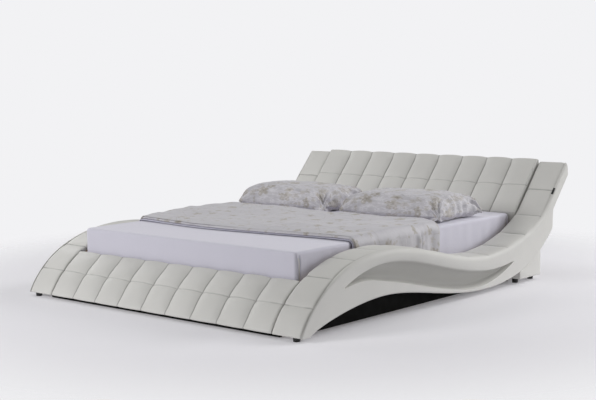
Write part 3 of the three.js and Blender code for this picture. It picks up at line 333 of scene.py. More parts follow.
def table_value(table, share):
    """A smooth curve through the rows of a table of (share, value)."""
    xs, ys = (np.array(column, float) for column in zip(*table))
    slopes = np.diff(ys) / np.diff(xs)
    tangents = np.concatenate([[slopes[0]], (slopes[:-1] + slopes[1:]) / 2, [slopes[-1]]])
    share = np.clip(np.asarray(share, float), xs[0], xs[-1])
    i = np.clip(np.searchsorted(xs, share, "right") - 1, 0, len(xs) - 2)
    width = xs[i + 1] - xs[i]
    p = (share - xs[i]) / width
    return (
        (2 * p**3 - 3 * p**2 + 1) * ys[i]
        + (p**3 - 2 * p**2 + p) * width * tangents[i]
        + (3 * p**2 - 2 * p**3) * ys[i + 1]
        + (p**3 - p**2) * width * tangents[i + 1]
    )


def smoothstep(value, low, high):
    t = np.clip((np.asarray(value, float) - low) / (high - low), 0, 1)
    return t * t * (3 - 2 * t)


def bell(distance, height, width):
    """A height at no distance, which falls smoothly to nothing within about twice the width."""
    return height * np.exp(-((distance / width) ** 2))


def soft_noise(points, size, seed):
    """Smooth noise between -1 and 1 that changes over about size metres."""
    side = 32
    table = np.random.default_rng(seed).uniform(-1, 1, (side, side, side))
    q = np.asarray(points, float) / size
    low = np.floor(q).astype(int)
    f = q - low
    f = f * f * (3 - 2 * f)
    total = np.zeros(len(q))
    for corner in product((0, 1), repeat=3):
        weight = np.where(corner, f, 1 - f)
        x, y, z = ((low + corner) % side).T
        total += weight[:, 0] * weight[:, 1] * weight[:, 2] * table[x, y, z]
    return total


def ridged(points, size, seed):
    """Noise with sharp crests, for creases in cloth."""
    return 1 - 2 * np.abs(soft_noise(points, size, seed))


def relief(points, height, stretch, size, seed, noise=soft_noise):
    """Noise of a height, over points that are stretched along each axis."""
    return height * noise(points * stretch, size, seed)


# The wave and the stations along it

UP = np.array([math.cos(HEAD_SLOPE), math.sin(HEAD_SLOPE)])
HEAD_INWARD = np.array([math.sin(HEAD_SLOPE), -math.cos(HEAD_SLOPE)])

toe = np.array([-TOE_REACH, TOE_GAP])
crest = np.array([MATTRESS_LENGTH * CREST_SHARE, CREST_HEIGHT])
trough = np.array([MATTRESS_LENGTH * TROUGH_SHARE, TROUGH_HEIGHT])
head_top = np.array([MATTRESS_LENGTH + HEAD_REACH, HEAD_HEIGHT])
slope_foot = head_top - UP * HEAD_STRAIGHT
slope_in = slope_foot - UP * SLOPE_IN_SHARE * (slope_foot[0] - trough[0])
knee_station = slope_foot + (head_top - slope_foot) * KNEE_STATION_SHARE
toe_under = np.array([-TOE_REACH + TOE_DEPTH, TOE_GAP])
arch_top = np.array([MATTRESS_LENGTH * ARCH_SHARE, ARCH_HEIGHT])
belly = np.array([MATTRESS_LENGTH * BELLY_SHARE, BELLY_HEIGHT])
head_top_back = head_top + HEAD_INWARD * HEAD_THICKNESS - UP * HEAD_TOP_SETBACK
knee_top = head_top_back - UP * KNEE_SETBACK
knee_low = knee_top - np.array([0, KNEE_DROP])

WAVE_CURVES = (
    curve(toe, crest, TOE_OUT, CREST_IN),
    curve(crest, trough, CREST_OUT, TROUGH_IN),
    (trough, between(trough, slope_foot, TROUGH_OUT), slope_in, slope_foot),
    line(slope_foot, knee_station),
    line(knee_station, head_top),
)
UNDER_CURVES = (
    curve(toe_under, arch_top, UNDER_TOE_OUT, ARCH_IN),
    curve(arch_top, belly, ARCH_OUT, BELLY_IN),
    curve(belly, knee_low, BELLY_OUT, KNEE_IN),
    line(knee_low, knee_top),
    line(knee_top, head_top_back),
)

CURVE_SAMPLES = np.linspace(0, 1, 801)


def arc_table(points):
    """How far along a curve each of its samples lies."""
    steps = np.linalg.norm(np.diff(bezier(points, CURVE_SAMPLES), axis=0), axis=1)
    return np.concatenate([[0], np.cumsum(steps)])


ARC_TABLES = [arc_table(points) for points in WAVE_CURVES]
CURVE_ENDS = np.cumsum([table[-1] for table in ARC_TABLES])
WAVE_LENGTH = CURVE_ENDS[-1]


class Stations:
    """Places along the wave: the point on top, the way in to the underside, and the depth there."""

    def __init__(self, arcs):
        self.arc = np.clip(np.asarray(arcs, float), 0, WAVE_LENGTH)
        segment = np.minimum(np.searchsorted(CURVE_ENDS, self.arc), len(WAVE_CURVES) - 1)
        self.top, under, tangent = np.zeros((3, len(self.arc), 2))
        for k, points in enumerate(WAVE_CURVES):
            here = segment == k
            start = CURVE_ENDS[k] - ARC_TABLES[k][-1]
            t = np.interp(self.arc[here] - start, ARC_TABLES[k], CURVE_SAMPLES)
            self.top[here] = bezier(points, t)
            under[here] = bezier(UNDER_CURVES[k], t)
            tangent[here] = bezier_slope(points, t)
        tangent = unit(tangent)
        self.inward = np.stack([tangent[:, 1], -tangent[:, 0]], axis=1)
        self.depth = np.linalg.norm(under - self.top, axis=1)
        self.direction = unit(under - self.top)
        self.slant = 1 / (self.direction * self.inward).sum(1)

    def point(self, x, depth):
        """Points at X places and depths; both have one row for each station."""
        x, depth = np.broadcast_arrays(np.asarray(x, float), np.asarray(depth, float))
        y = self.top[:, :1] + self.direction[:, :1] * depth + FOOT_Y
        z = self.top[:, 1:] + self.direction[:, 1:] * depth
        return np.stack([x, y, z], axis=2)

    def flat(self, xs):
        """The points at the X places before anything dips or swells, as one list."""
        return self.point(xs, 0).reshape(-1, 3)

    def ridge(self):
        return RIDGE_WIDTH * table_value(RIDGE_WIDTH_SHARES, self.arc / WAVE_LENGTH)

    def roll(self):
        return table_value(ROLL_SHARES, self.arc / WAVE_LENGTH)

    def to_end(self):
        return np.minimum(self.arc, WAVE_LENGTH - self.arc)


class BoardStations(Stations):
    """Stations whose top, way in and slant are given instead of worked out."""

    def __init__(self, arc, top, direction, inward):
        self.arc, self.top, self.direction, self.inward = arc, top, direction, inward
        self.slant = 1 / (direction * inward).sum(1)


def cell_places(bounds):
    """Places between bounds, close together beside each bound."""
    places = [bounds[0]]
    for low, high in zip(bounds[:-1], bounds[1:]):
        near = [s for s in SEAM_STEPS if s < (high - low) / 2 - SURFACE_STEP / 2]
        start, end = low + near[-1], high - near[-1]
        places += [low + s for s in near[:-1]]
        places += list(np.linspace(start, end, max(2, round((end - start) / SURFACE_STEP) + 1)))
        places += [high - s for s in reversed(near[:-1])]
        places.append(high)
    return np.array(places)


def seam_distance(places, seams):
    """How far each place lies from its nearest seam."""
    return np.abs(np.asarray(places)[:, None] - np.array(seams)[None, :]).min(1)


def cell_swell(places, bounds, power=2):
    """0 at the bounds of each cell and 1 in its middle."""
    bounds = np.asarray(bounds, float)
    i = np.clip(np.searchsorted(bounds, places, "right") - 1, 0, len(bounds) - 2)
    share = (places - bounds[i]) / (bounds[i + 1] - bounds[i])
    return 1 - (2 * share - 1) ** power


def arc_at_y(y):
    """The arc length at which the wave passes a Y, measured from the foot of the mattress."""
    arcs = np.linspace(0, WAVE_LENGTH, 4001)
    return float(np.interp(y, Stations(arcs).top[:, 0], arcs))


BAND_BOUNDS = [0.0, *np.arange(FIRST_CELL, WAVE_LENGTH - CELL_PITCH / 2, CELL_PITCH), WAVE_LENGTH]


# Making meshes


def only(obj):
    """Selects one object alone and makes it the active one."""
    bpy.ops.object.select_all(action="DESELECT")
    obj.select_set(True)
    bpy.context.view_layer.objects.active = obj
    return obj


@contextmanager
def edit_mode(action="SELECT"):
    """Edit mode on the active piece, with all of it or none of it selected first."""
    bpy.ops.object.mode_set(mode="EDIT")
    bpy.ops.mesh.select_all(action=action)
    yield
    bpy.ops.object.mode_set(mode="OBJECT")


def read_points(piece, kind="co"):
    points = np.zeros(len(piece.data.vertices) * 3, np.float32)
    piece.data.vertices.foreach_get(kind, points)
    return points.reshape(-1, 3).astype(float)


def write_points(piece, points):
    piece.data.vertices.foreach_set("co", points.reshape(-1).astype(np.float32))
    piece.data.update()


def point_values(piece, name, values):
    """Keeps one number for each point as an attribute that a material can read."""
    attribute = piece.data.attributes.new(name, "FLOAT", "POINT")
    full = np.zeros(len(piece.data.vertices), np.float32)
    full[: len(values)] = values
    attribute.data.foreach_set("value", full)


def named(piece, name):
    piece.name = piece.data.name = name
    return piece


def grid_piece(name, rows):
    """A grid primitive whose points are moved to the rows given."""
    count, across = rows.shape[:2]
    bpy.ops.object.select_all(action="DESELECT")
    bpy.ops.mesh.primitive_grid_add(x_subdivisions=across - 1, y_subdivisions=count - 1, size=1)
    piece = named(bpy.context.object, name)
    write_points(piece, rows)
    return piece


def select_points(piece, chosen):
    """Enters edit mode with points selected by their numbers, and the edges and faces that they make."""
    with edit_mode("DESELECT"):
        bpy.ops.mesh.select_mode(type="VERT")
    flags = np.zeros(len(piece.data.vertices), bool)
    flags[chosen] = True
    piece.data.vertices.foreach_set("select", flags)
    bpy.ops.object.mode_set(mode="EDIT")


def face_outwards(piece):
    """Turns a closed mesh right side out, by its signed volume."""
    mesh = piece.data
    mesh.calc_loop_triangles()
    corners = np.zeros(len(mesh.loop_triangles) * 3, np.int32)
    mesh.loop_triangles.foreach_get("vertices", corners)
    p = read_points(piece)[corners].reshape(-1, 3, 3)
    p -= p.mean((0, 1))
    if (p[:, 0] * np.cross(p[:, 1], p[:, 2])).sum() < 0:
        mesh.flip_normals()
    mesh.update()


def closed_loft(name, rows):
    """A solid of closed sections: the last column is bridged to the first, and both ends are capped."""
    count, across = rows.shape[:2]
    piece = grid_piece(name, rows)
    left = np.arange(count) * across
    select_points(piece, np.concatenate([left, left + across - 1]))
    bpy.ops.mesh.select_mode(type="EDGE")
    bpy.ops.mesh.bridge_edge_loops()
    for row in (0, count - 1):
        select_points(piece, row * across + np.arange(across))
        bpy.ops.mesh.edge_face_add()
    bpy.ops.object.mode_set(mode="OBJECT")
    face_outwards(piece)
    smooth_below(piece, LOFT_EDGE_DEGREES)
    return piece


def smooth_below(piece, degrees):
    """Shades a piece smooth wherever its faces meet at less than an angle."""
    only(piece)
    bpy.ops.object.shade_smooth_by_angle(angle=math.radians(degrees))


def merge_points(threshold):
    """Joins the active piece's points that lie within the threshold."""
    with edit_mode():
        bpy.ops.mesh.remove_doubles(threshold=threshold)


def finish_with(piece, kind, **settings):
    """Adds a modifier with its settings and applies it."""
    only(piece)
    modifier = piece.modifiers.new("finish", kind)
    for key, value in settings.items():
        setattr(modifier, key, value)
    bpy.ops.object.modifier_apply(modifier="finish")


def copied(piece, name):
    """A copy with a mesh of its own."""
    copy = named(bpy.data.objects.new(name, piece.data.copy()), name)
    bpy.context.scene.collection.objects.link(copy)
    return copy


def mirror(piece):
    """Moves a piece to the other side of the bed."""
    piece.data.transform(Matrix.Scale(-1, 4, Vector((1, 0, 0))))
    piece.data.flip_normals()


def softened(node, name, width, segments=3):
    """A copy of a frame node whose loose triangles are joined and whose edges are rounded."""
    copy = only(copied(frame["nodes"][node], name))
    with edit_mode():
        bpy.ops.mesh.remove_doubles(threshold=SAME_POINT)
        bpy.ops.mesh.dissolve_limited(angle_limit=math.radians(FLAT_DEGREES))
    finish_with(
        copy, "BEVEL", width=width, segments=segments, limit_method="ANGLE",
        angle_limit=math.radians(EDGE_DEGREES), use_clamp_overlap=True,
    )
    smooth_below(copy, EDGE_DEGREES)
    point_values(copy, "seam", np.zeros(len(copy.data.vertices)))
    return copy


def flat_uv(piece, values):
    """Writes each point's place on the flat cloth to the piece's UV map."""
    layer = piece.data.uv_layers.get("UVMap") or piece.data.uv_layers.new(name="UVMap")
    corners = np.zeros(len(piece.data.loops), np.int32)
    piece.data.loops.foreach_get("vertex_index", corners)
    layer.data.foreach_set("uv", np.asarray(values, np.float32)[corners].reshape(-1))


def dressed(piece, finish, node, body="frame"):
    """Gives a piece its finish and its body, and lets it stand for a node of the frame."""
    piece.data.materials.clear()
    piece.data.materials.append(the_material(finish))
    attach(piece, body)
    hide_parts(node)
    return piece


# Materials


class Nodes:
    """Short calls for building one material."""

    def __init__(self, name):
        self.material = bpy.data.materials.new("bed_" + name)
        self.material.use_nodes = True
        self.tree = self.material.node_tree
        self.shader = self.tree.nodes["Principled BSDF"]
        self.place = self.tree.nodes.new("ShaderNodeTexCoord").outputs["Object"]

    def add(self, kind, inputs=None, **settings):
        node = self.tree.nodes.new(kind)
        for key, value in settings.items():
            setattr(node, key, value)
        for key, value in (inputs or {}).items():
            self.put(node.inputs[key], value)
        return node

    def put(self, socket, value):
        if isinstance(value, bpy.types.NodeSocket):
            self.tree.links.new(value, socket)
        else:
            socket.default_value = value

    def set(self, **values):
        for key, value in values.items():
            self.put(self.shader.inputs[key.replace("_", " ")], value)

    def mapped(self, vector, **settings):
        return self.add("ShaderNodeMapping", {"Vector": vector, **settings}).outputs[0]

    def noise(self, scale, detail=3.0, roughness=0.5, vector=None, distortion=0.0):
        values = {"Scale": scale, "Detail": detail, "Roughness": roughness, "Distortion": distortion}
        return self.add("ShaderNodeTexNoise", {**values, "Vector": vector or self.place}).outputs["Fac"]

    def wave(self, vector, scale, direction, distortion=0.0):
        values = {"Vector": vector, "Scale": scale, "Distortion": distortion}
        return self.add("ShaderNodeTexWave", values, bands_direction=direction).outputs["Fac"]

    def weave(self, vector, threads):
        """The height of a plain weave, as two crossing sets of threads."""
        return self.math("MAXIMUM", self.wave(vector, threads, "X"), self.wave(vector, threads, "Y"))

    def voronoi(self, scale, vector=None, feature="F1", dimensions="3D"):
        values = {"Scale": scale, "Vector": vector or self.place}
        return self.add("ShaderNodeTexVoronoi", values, feature=feature, voronoi_dimensions=dimensions)

    def math(self, operation, a, b=0.0, c=0.0):
        return self.add("ShaderNodeMath", {0: a, 1: b, 2: c}, operation=operation).outputs[0]

    def vector_math(self, operation, *values):
        return self.add("ShaderNodeVectorMath", dict(enumerate(values)), operation=operation).outputs

    def times(self, a, b):
        return self.math("MULTIPLY", a, b)

    def ramp(self, value, low, high, to_low=0.0, to_high=1.0):
        inputs = {"Value": value, "From Min": low, "From Max": high, "To Min": to_low, "To Max": to_high}
        return self.add("ShaderNodeMapRange", inputs, clamp=True, interpolation_type="SMOOTHSTEP").outputs[0]

    def mix(self, factor, a, b):
        return self.add("ShaderNodeMix", {0: factor, 6: a, 7: b}, data_type="RGBA").outputs[2]

    def over(self, tone, mask, share, rgba):
        """A tone with a share of a colour laid over it where the mask is."""
        return self.mix(self.times(mask, share), tone, rgba)

    def bump(self, height, strength, distance, normal=None):
        inputs = {"Height": height, "Strength": strength, "Distance": distance}
        if normal:
            inputs["Normal"] = normal
        return self.add("ShaderNodeBump", inputs).outputs[0]


def colour(red, green, blue):
    """A colour given as it looks on a screen, from 0 to 255, turned to linear light."""

    def linear(value):
        share = value / 255
        return share / 12.92 if share <= 0.04045 else ((share + 0.055) / 1.055) ** 2.4

    return (linear(red), linear(green), linear(blue), 1.0)


def darker(rgba, share):
    return tuple(c * share for c in rgba[:3]) + (1.0,)


def leather_material(settings):
    """Embossed leather with pores, with painted shade along its seams and in the hollows of the sides."""
    n = Nodes("leather")
    base = (*settings.leather_colour, 1.0)
    tone = n.mix(n.ramp(n.noise(3.2, 4), 0.35, 0.65), darker(base, 0.965), base)
    pores = n.ramp(n.voronoi(900).outputs["Distance"], 0.0, 0.5)
    tone = n.over(tone, n.math("SUBTRACT", 1.0, pores), 0.10, darker(base, 0.6))
    # Painted shade: the seam attribute holds how much shade is painted along seams, grooves and in the side
    # hollows
    seam = n.add("ShaderNodeAttribute", attribute_name="seam").outputs["Fac"]
    tone = n.over(tone, seam, settings.painted_seam_shade, darker(base, 0.22))
    rough = settings.leather_roughness
    n.set(Base_Color=tone, Roughness=n.ramp(n.noise(14, 4), 0.3, 0.7, rough - 0.06, rough + 0.07))
    n.set(Specular_IOR_Level=0.34, Sheen_Weight=0.06, Sheen_Roughness=0.5)
    grain = n.voronoi(settings.grain_scale, feature="DISTANCE_TO_EDGE").outputs["Distance"]
    fine = n.bump(n.ramp(grain, 0.0, 0.18), 0.16, 0.0006)
    n.set(Normal=n.bump(n.noise(22, 5, 0.6, distortion=1.2), 0.16, 0.004, fine))
    return n.material


def plain_material(name, rgba, roughness, grain=320, metallic=0.0, bump=0.08, gloss=0.5):
    """A hard finish with a fine speckle, slight wear in its gloss and a low grain."""
    n = Nodes(name)
    speckle = n.noise(grain, 3)
    n.set(Base_Color=n.mix(n.ramp(speckle, 0.35, 0.65), darker(rgba, 0.8), rgba))
    n.set(Roughness=n.ramp(n.noise(18, 4), 0.3, 0.7, roughness - 0.08, roughness + 0.08))
    n.set(Metallic=metallic, Specular_IOR_Level=gloss, Normal=n.bump(speckle, bump, 0.0008))
    return n.material


def timber_material(name, rgba):
    """Laminated timber with growth rings along X and glue lines between its layers."""
    n = Nodes(name)
    grain = n.noise(2.4, 6, 0.62, n.mapped(n.place, Scale=(1.2, 22.0, 60.0)), 0.6)
    layers = n.wave(n.place, 110.0, "Z", 0.4)
    tone = n.mix(n.ramp(grain, 0.3, 0.7), darker(rgba, 0.62), rgba)
    tone = n.over(tone, n.ramp(layers, 0.75, 1.0), 0.25, darker(rgba, 0.5))
    n.set(Base_Color=tone, Roughness=n.ramp(grain, 0.2, 0.8, 0.62, 0.48), Normal=n.bump(grain, 0.12, 0.001))
    return n.material


def cotton_material(name, rgba):
    """Plain woven cotton with slubs along its threads."""
    n = Nodes(name)
    flat = n.add("ShaderNodeUVMap").outputs[0]
    weave = n.weave(flat, 260.0)
    slub = n.noise(60, 4, 0.6, n.mapped(flat, Scale=(1.0, 14.0, 1.0)))
    tone = n.mix(n.ramp(weave, 0.3, 1.0), darker(rgba, 0.9), rgba)
    n.set(Base_Color=n.over(tone, n.ramp(slub, 0.45, 0.7), 0.12, darker(rgba, 0.8)), Roughness=0.85)
    n.set(Sheen_Weight=0.25, Sheen_Roughness=0.4, Specular_IOR_Level=0.25)
    n.set(Normal=n.bump(weave, 0.1, 0.0005, n.bump(n.noise(9, 4, 0.6), 0.14, 0.006)))
    return n.material


def blossoms(n, vector, scale, size, seed):
    """Five-petalled blossoms at scattered points: how much petal and how much heart there is."""
    moved = n.mapped(vector, Location=(seed, seed * 0.7, 0.0))
    wobble = n.add("ShaderNodeTexNoise", {"Vector": moved, "Scale": scale * 2.2, "Detail": 2.0})
    bent = n.vector_math("MULTIPLY_ADD", wobble.outputs["Color"], (0.035, 0.035, 0.0), moved)[0]
    scattered = n.voronoi(scale, bent, dimensions="2D")
    away = n.vector_math("SUBTRACT", bent, scattered.outputs["Position"])[0]
    radius = n.vector_math("LENGTH", away)["Value"]
    x, y, _ = n.add("ShaderNodeSeparateXYZ", {"Vector": away}).outputs
    turn, spread, chance = n.add("ShaderNodeSeparateColor", {"Color": scattered.outputs["Color"]}).outputs
    angle = n.math("ADD", n.math("ARCTAN2", y, x), n.times(turn, 6.2832))
    petals = n.math("ABSOLUTE", n.math("COSINE", n.times(angle, 2.5)))
    reach = n.math("MULTIPLY_ADD", petals, size * 0.5, size * 0.5)
    reach = n.times(reach, n.math("MULTIPLY_ADD", spread, 0.7, 0.55))
    flower = n.ramp(n.math("DIVIDE", radius, reach), 0.75, 1.0, 1.0, 0.0)
    heart = n.ramp(radius, size * 0.12, size * 0.24, 1.0, 0.0)
    shown = n.ramp(chance, 0.36, 0.4)
    return n.times(flower, shown), n.times(heart, shown)


def print_material(settings, name, scale, size, strength, shade, crease, painted_sheen):
    """Pale satin with a faint print of blossoms on thin twigs, with painted highlights and painted shade
    along its folds.
    """
    n = Nodes(name)
    ground = darker(settings.print_colour, shade)
    petal = darker(settings.blossom_colour, shade)
    flat = n.add("ShaderNodeUVMap").outputs[0]
    large, heart = blossoms(n, flat, scale, size, 3.1)
    small, small_heart = blossoms(n, flat, scale * 1.8, size * 0.55, 11.7)
    edges = n.voronoi(6.0, flat, "DISTANCE_TO_EDGE", "2D").outputs["Distance"]
    twig = n.times(n.ramp(edges, 0.008, 0.02, 1.0, 0.0), n.ramp(n.noise(5, 3, 0.6, flat), 0.48, 0.56))
    mottle = n.ramp(n.noise(38, 3, 0.6, flat), 0.4, 0.65)
    tone = ground
    for mask, share, petal_shade in (
        (twig, 0.35, 0.75), (small, 0.5, 1.0), (large, 0.75, 1.0), (n.times(large, mottle), 0.5, 0.7),
        (heart, 0.5, 0.55), (small_heart, 0.35, 0.6),
    ):
        tone = n.over(tone, mask, share * strength, darker(petal, petal_shade))
    # Painted highlights on the crests of the folds, and painted shade between them
    gathered = n.mapped(flat, Scale=(1.0, 2.4, 1.0))
    folds = n.math("ABSOLUTE", n.math("SUBTRACT", n.noise(7, 4, 0.6, gathered, 1.8), 0.5))
    tone = n.over(tone, n.ramp(folds, 0.0, 0.05, 1.0, 0.0), painted_sheen, darker(ground, 1.35))
    tone = n.over(tone, n.ramp(folds, 0.05, 0.2), 0.6 * painted_sheen, darker(ground, 0.72))
    n.set(Base_Color=tone, Roughness=n.ramp(n.noise(20, 4), 0.3, 0.7, 0.5, 0.62))
    n.set(Sheen_Weight=0.2, Sheen_Roughness=0.35, Specular_IOR_Level=0.4)
    wrinkles = n.bump(n.noise(16, 5, 0.65, flat, 0.8), crease, 0.006)
    n.set(Normal=n.bump(n.weave(flat, 300.0), 0.06, 0.0004, wrinkles))
    return n.material


def ticking_material(rgba):
    """Woven mattress cloth with a small raised diamond."""
    n = Nodes("ticking")
    diamonds = n.weave(n.mapped(n.place, Rotation=(0.0, 0.0, math.radians(45))), 12.0)
    tone = n.mix(n.ramp(diamonds, 0.8, 1.0), rgba, darker(rgba, 0.82))
    n.set(Base_Color=n.mix(n.ramp(n.noise(700, 2), 0.4, 0.6), darker(rgba, 0.9), tone), Roughness=0.9)
    n.set(Sheen_Weight=0.2, Normal=n.bump(diamonds, 0.25, 0.002))
    return n.material


def ribbon_material():
    """Ribbed black ribbon."""
    n = Nodes("ribbon")
    ribs = n.wave(n.place, 420.0, "Y")
    n.set(Base_Color=n.mix(ribs, (0.004, 0.004, 0.004, 1), (0.018, 0.018, 0.019, 1)), Roughness=0.75)
    n.set(Sheen_Weight=0.2, Normal=n.bump(ribs, 0.4, 0.0004))
    return n.material


made_materials = {}


def the_material(name):
    """The material of a name, made once from the scene's settings."""
    settings = bpy.context.scene.wave_bed_finish
    makers = {
        "leather": lambda: leather_material(settings),
        "print": lambda: print_material(settings, "print", 9.0, 0.030, 0.8, 1.0, 0.45, 0.1),
        "pillow_print": lambda: print_material(settings, "pillow_print", 8.5, 0.052, 0.9, 0.97, 1.0, 0.55),
        "lining": lambda: cotton_material("lining", colour(203, 201, 217)),
        "sheet": lambda: cotton_material("sheet", (*settings.sheet_colour, 1.0)),
        "ticking": lambda: ticking_material(colour(226, 223, 216)),
        "timber": lambda: timber_material("timber", colour(205, 171, 124)),
        # Near-black boards under the bed: real boards, and their black also stands in for the shade under the
        # arches and the footboard
        "black_board": lambda: plain_material("black_board", colour(13, 13, 12), 0.85, gloss=0.1),
        "steel": lambda: plain_material("steel", colour(30, 31, 33), 0.42, 900, 0.3, 0.15),
        "plastic": lambda: plain_material("plastic", colour(26, 26, 26), 0.5, 500),
        "ribbon": ribbon_material,
    }
    if name not in made_materials:
        made_materials[name] = makers[name]()
    return made_materials[name]


# Leather pieces


def rounded_edge(distance, radius):
    """How far a surface falls near an edge that it rounds with a radius."""
    radius = np.maximum(radius, 1e-6)
    near = np.clip(radius - np.clip(distance, 0, None), 0, radius)
    return radius - np.sqrt(np.maximum(radius**2 - near**2, 0))


def seam_dip(distance, depth, reach, shoulder):
    """A narrow seam with rounded shoulders on each side of it."""
    narrow = np.exp(-((distance / reach) ** SEAM_POWER))
    wide = np.exp(-((distance / (reach * SHOULDER_WIDENING)) ** SHOULDER_POWER))
    return depth * ((1 - shoulder) * narrow + shoulder * wide)


def puckers(points, distance, depth, seed):
    """Small folds that run away from a seam, and die out within a short reach."""
    large = LARGE_PUCKER_SHARE * soft_noise(points, LARGE_PUCKER_SIZE, seed + 1)
    return depth * (soft_noise(points, PUCKER_SIZE, seed) + large) * np.exp(-distance / PUCKER_REACH)


def wandering(distance, flat, amount, size, seed):
    """Distances from row seams whose lines stray a little from straight, for every point of a grid."""
    stray = amount * soft_noise(flat, size, seed).reshape(len(distance), -1)
    distance = distance[:, None]
    return np.abs(distance + np.where(distance < WANDER_REACH, stray, 0))


def quilted_rows(stations, xs, dips, thickness):
    """Closed sections of a pad: down its left wall to the back, and across the front."""
    front = stations.point(xs, dips * stations.slant[:, None])
    back = stations.point(xs[:, [0, -1]], np.full((len(xs), 2), thickness) * stations.slant[:, None])
    middle_left = (front[:, :1] + back[:, :1]) / 2
    middle_right = (front[:, -1:] + back[:, 1:]) / 2
    return np.concatenate([back[:, :1], middle_left, front, middle_right, back[:, 1:]], axis=1)


def quilted_pad(name, node, stations, xs, dips, folds, thickness, seam_shade, mirrored=False):
    """A closed leather pad, with painted shade along its seams and edges."""
    pad = closed_loft(name, quilted_rows(stations, xs, dips + folds.reshape(xs.shape), thickness))
    walls = np.zeros((len(xs), 2))
    # Painted shade along the seams and edges, kept in the seam attribute
    point_values(pad, "seam", np.concatenate([walls, seam_shade, walls], axis=1).reshape(-1))
    if mirrored:
        mirror(pad)
    return dressed(pad, "leather", node)


def panel_sections(stations):
    """The outline of a side panel at every station, from its inner top edge round to its inner underside.

    Also gives the number of the column where the outer face starts.
    """
    scoop_reach = SCOOP_END_SHARE - SCOOP_START_SHARE
    share = np.clip((stations.top[:, 0] / MATTRESS_LENGTH - SCOOP_START_SHARE) / scoop_reach, 0, 1)
    depth, ridge, roll = stations.depth, stations.ridge(), stations.roll()
    upper = depth * table_value(SCOOP_UPPER_SHARES, share)
    lower = np.maximum(depth * table_value(SCOOP_LOWER_SHARES, share), upper + CREASE_WIDTH)
    fullness = np.sqrt(np.clip(np.sin(math.pi * share), 0, 1))
    under = np.minimum(UNDER_ROLL, (depth - lower) * UNDER_ROLL_SHARE)
    floor = (PAD_THICKNESS + SEAT_GAP) * stations.slant
    inner_x = RIB_HIGH.x + SEAT_GAP
    ridge_inner = OUTSIDE_HALF - ridge
    end_fall = rounded_edge(stations.to_end(), END_ROLL)
    columns = [(inner_x, floor), (ridge_inner, floor)]
    small = ridge * RIDGE_EDGE_SHARE
    for angle in np.radians(RIDGE_EDGE_ANGLES):
        fall = rounded_edge(ridge, roll) + small * (1 - math.sin(angle))
        columns.append((ridge_inner + small * (1 - math.cos(angle)), np.maximum(fall, end_fall)))
    for left in RIDGE_STEPS:
        columns.append((OUTSIDE_HALF - ridge * left, np.maximum(rounded_edge(ridge * left, roll), end_fall)))
    face_start = len(columns)
    for k in range(FASCIA_COLUMNS):
        t = (k + 1) / FASCIA_COLUMNS
        swell = FASCIA_SWELL * fullness * t**FASCIA_POWER
        columns.append((OUTSIDE_HALF - swell, roll + (upper - roll) * t))
    for t in SCOOP_STEPS:
        hollow = SCOOP_DEPTH * fullness * float(table_value(SCOOP_SECTION_SHARES, t))
        back = np.maximum(hollow, CREASE_DEPTH * (1 - t) * np.minimum(1, CREASE_FADE * fullness))
        columns.append((OUTSIDE_HALF - back, upper + (lower - upper) * t))
    for t in BELOW_SCOOP_STEPS:
        columns.append((OUTSIDE_HALF, lower + (depth - under - lower) * t))
    for angle in np.radians(np.linspace(0, 90, UNDER_COLUMNS)):
        columns.append((OUTSIDE_HALF - under * (1 - math.cos(angle)), depth - under * (1 - math.sin(angle))))
    columns += [(OUTSIDE_HALF - PANEL_BASE_WIDTH, depth), (inner_x, depth)]
    xs, depths = (
        np.stack([np.broadcast_to(values, depth.shape) for values in kind], axis=1) for kind in zip(*columns)
    )
    return stations.point(xs, depths), face_start


class WAVEBED_OT_side_panels(bpy.types.Operator):
    """Model the S-shaped leather sides with their scooped outer faces"""

    bl_idname = "wave_bed.side_panels"
    bl_label = "Side Panels"

    def execute(self, context):
        margin = PANEL_END_STEPS[-1] + PANEL_STEP
        middle = np.linspace(margin, WAVE_LENGTH - margin, round(WAVE_LENGTH / PANEL_STEP))
        far_end = WAVE_LENGTH - np.array(PANEL_END_STEPS[::-1])
        rows, face_start = panel_sections(Stations(np.concatenate([PANEL_END_STEPS, middle, far_end])))
        panel = closed_loft("leather_side_right", rows)
        # Painted shade darkens the hollow of each side, darker further in
        sunk = (OUTSIDE_HALF - rows[:, :, 0] - FASCIA_SWELL) / (SCOOP_DEPTH - FASCIA_SWELL)
        sunk[:, :face_start] = sunk[:, -2:] = 0
        point_values(panel, "seam", SCOOP_SHADE * smoothstep(sunk, 0.0, SCOOP_SHADE_START).reshape(-1))
        other = copied(panel, "leather_side_left")
        mirror(other)
        dressed(panel, "leather", "side_panel_right")
        dressed(other, "leather", "side_panel_left")
        return {"FINISHED"}


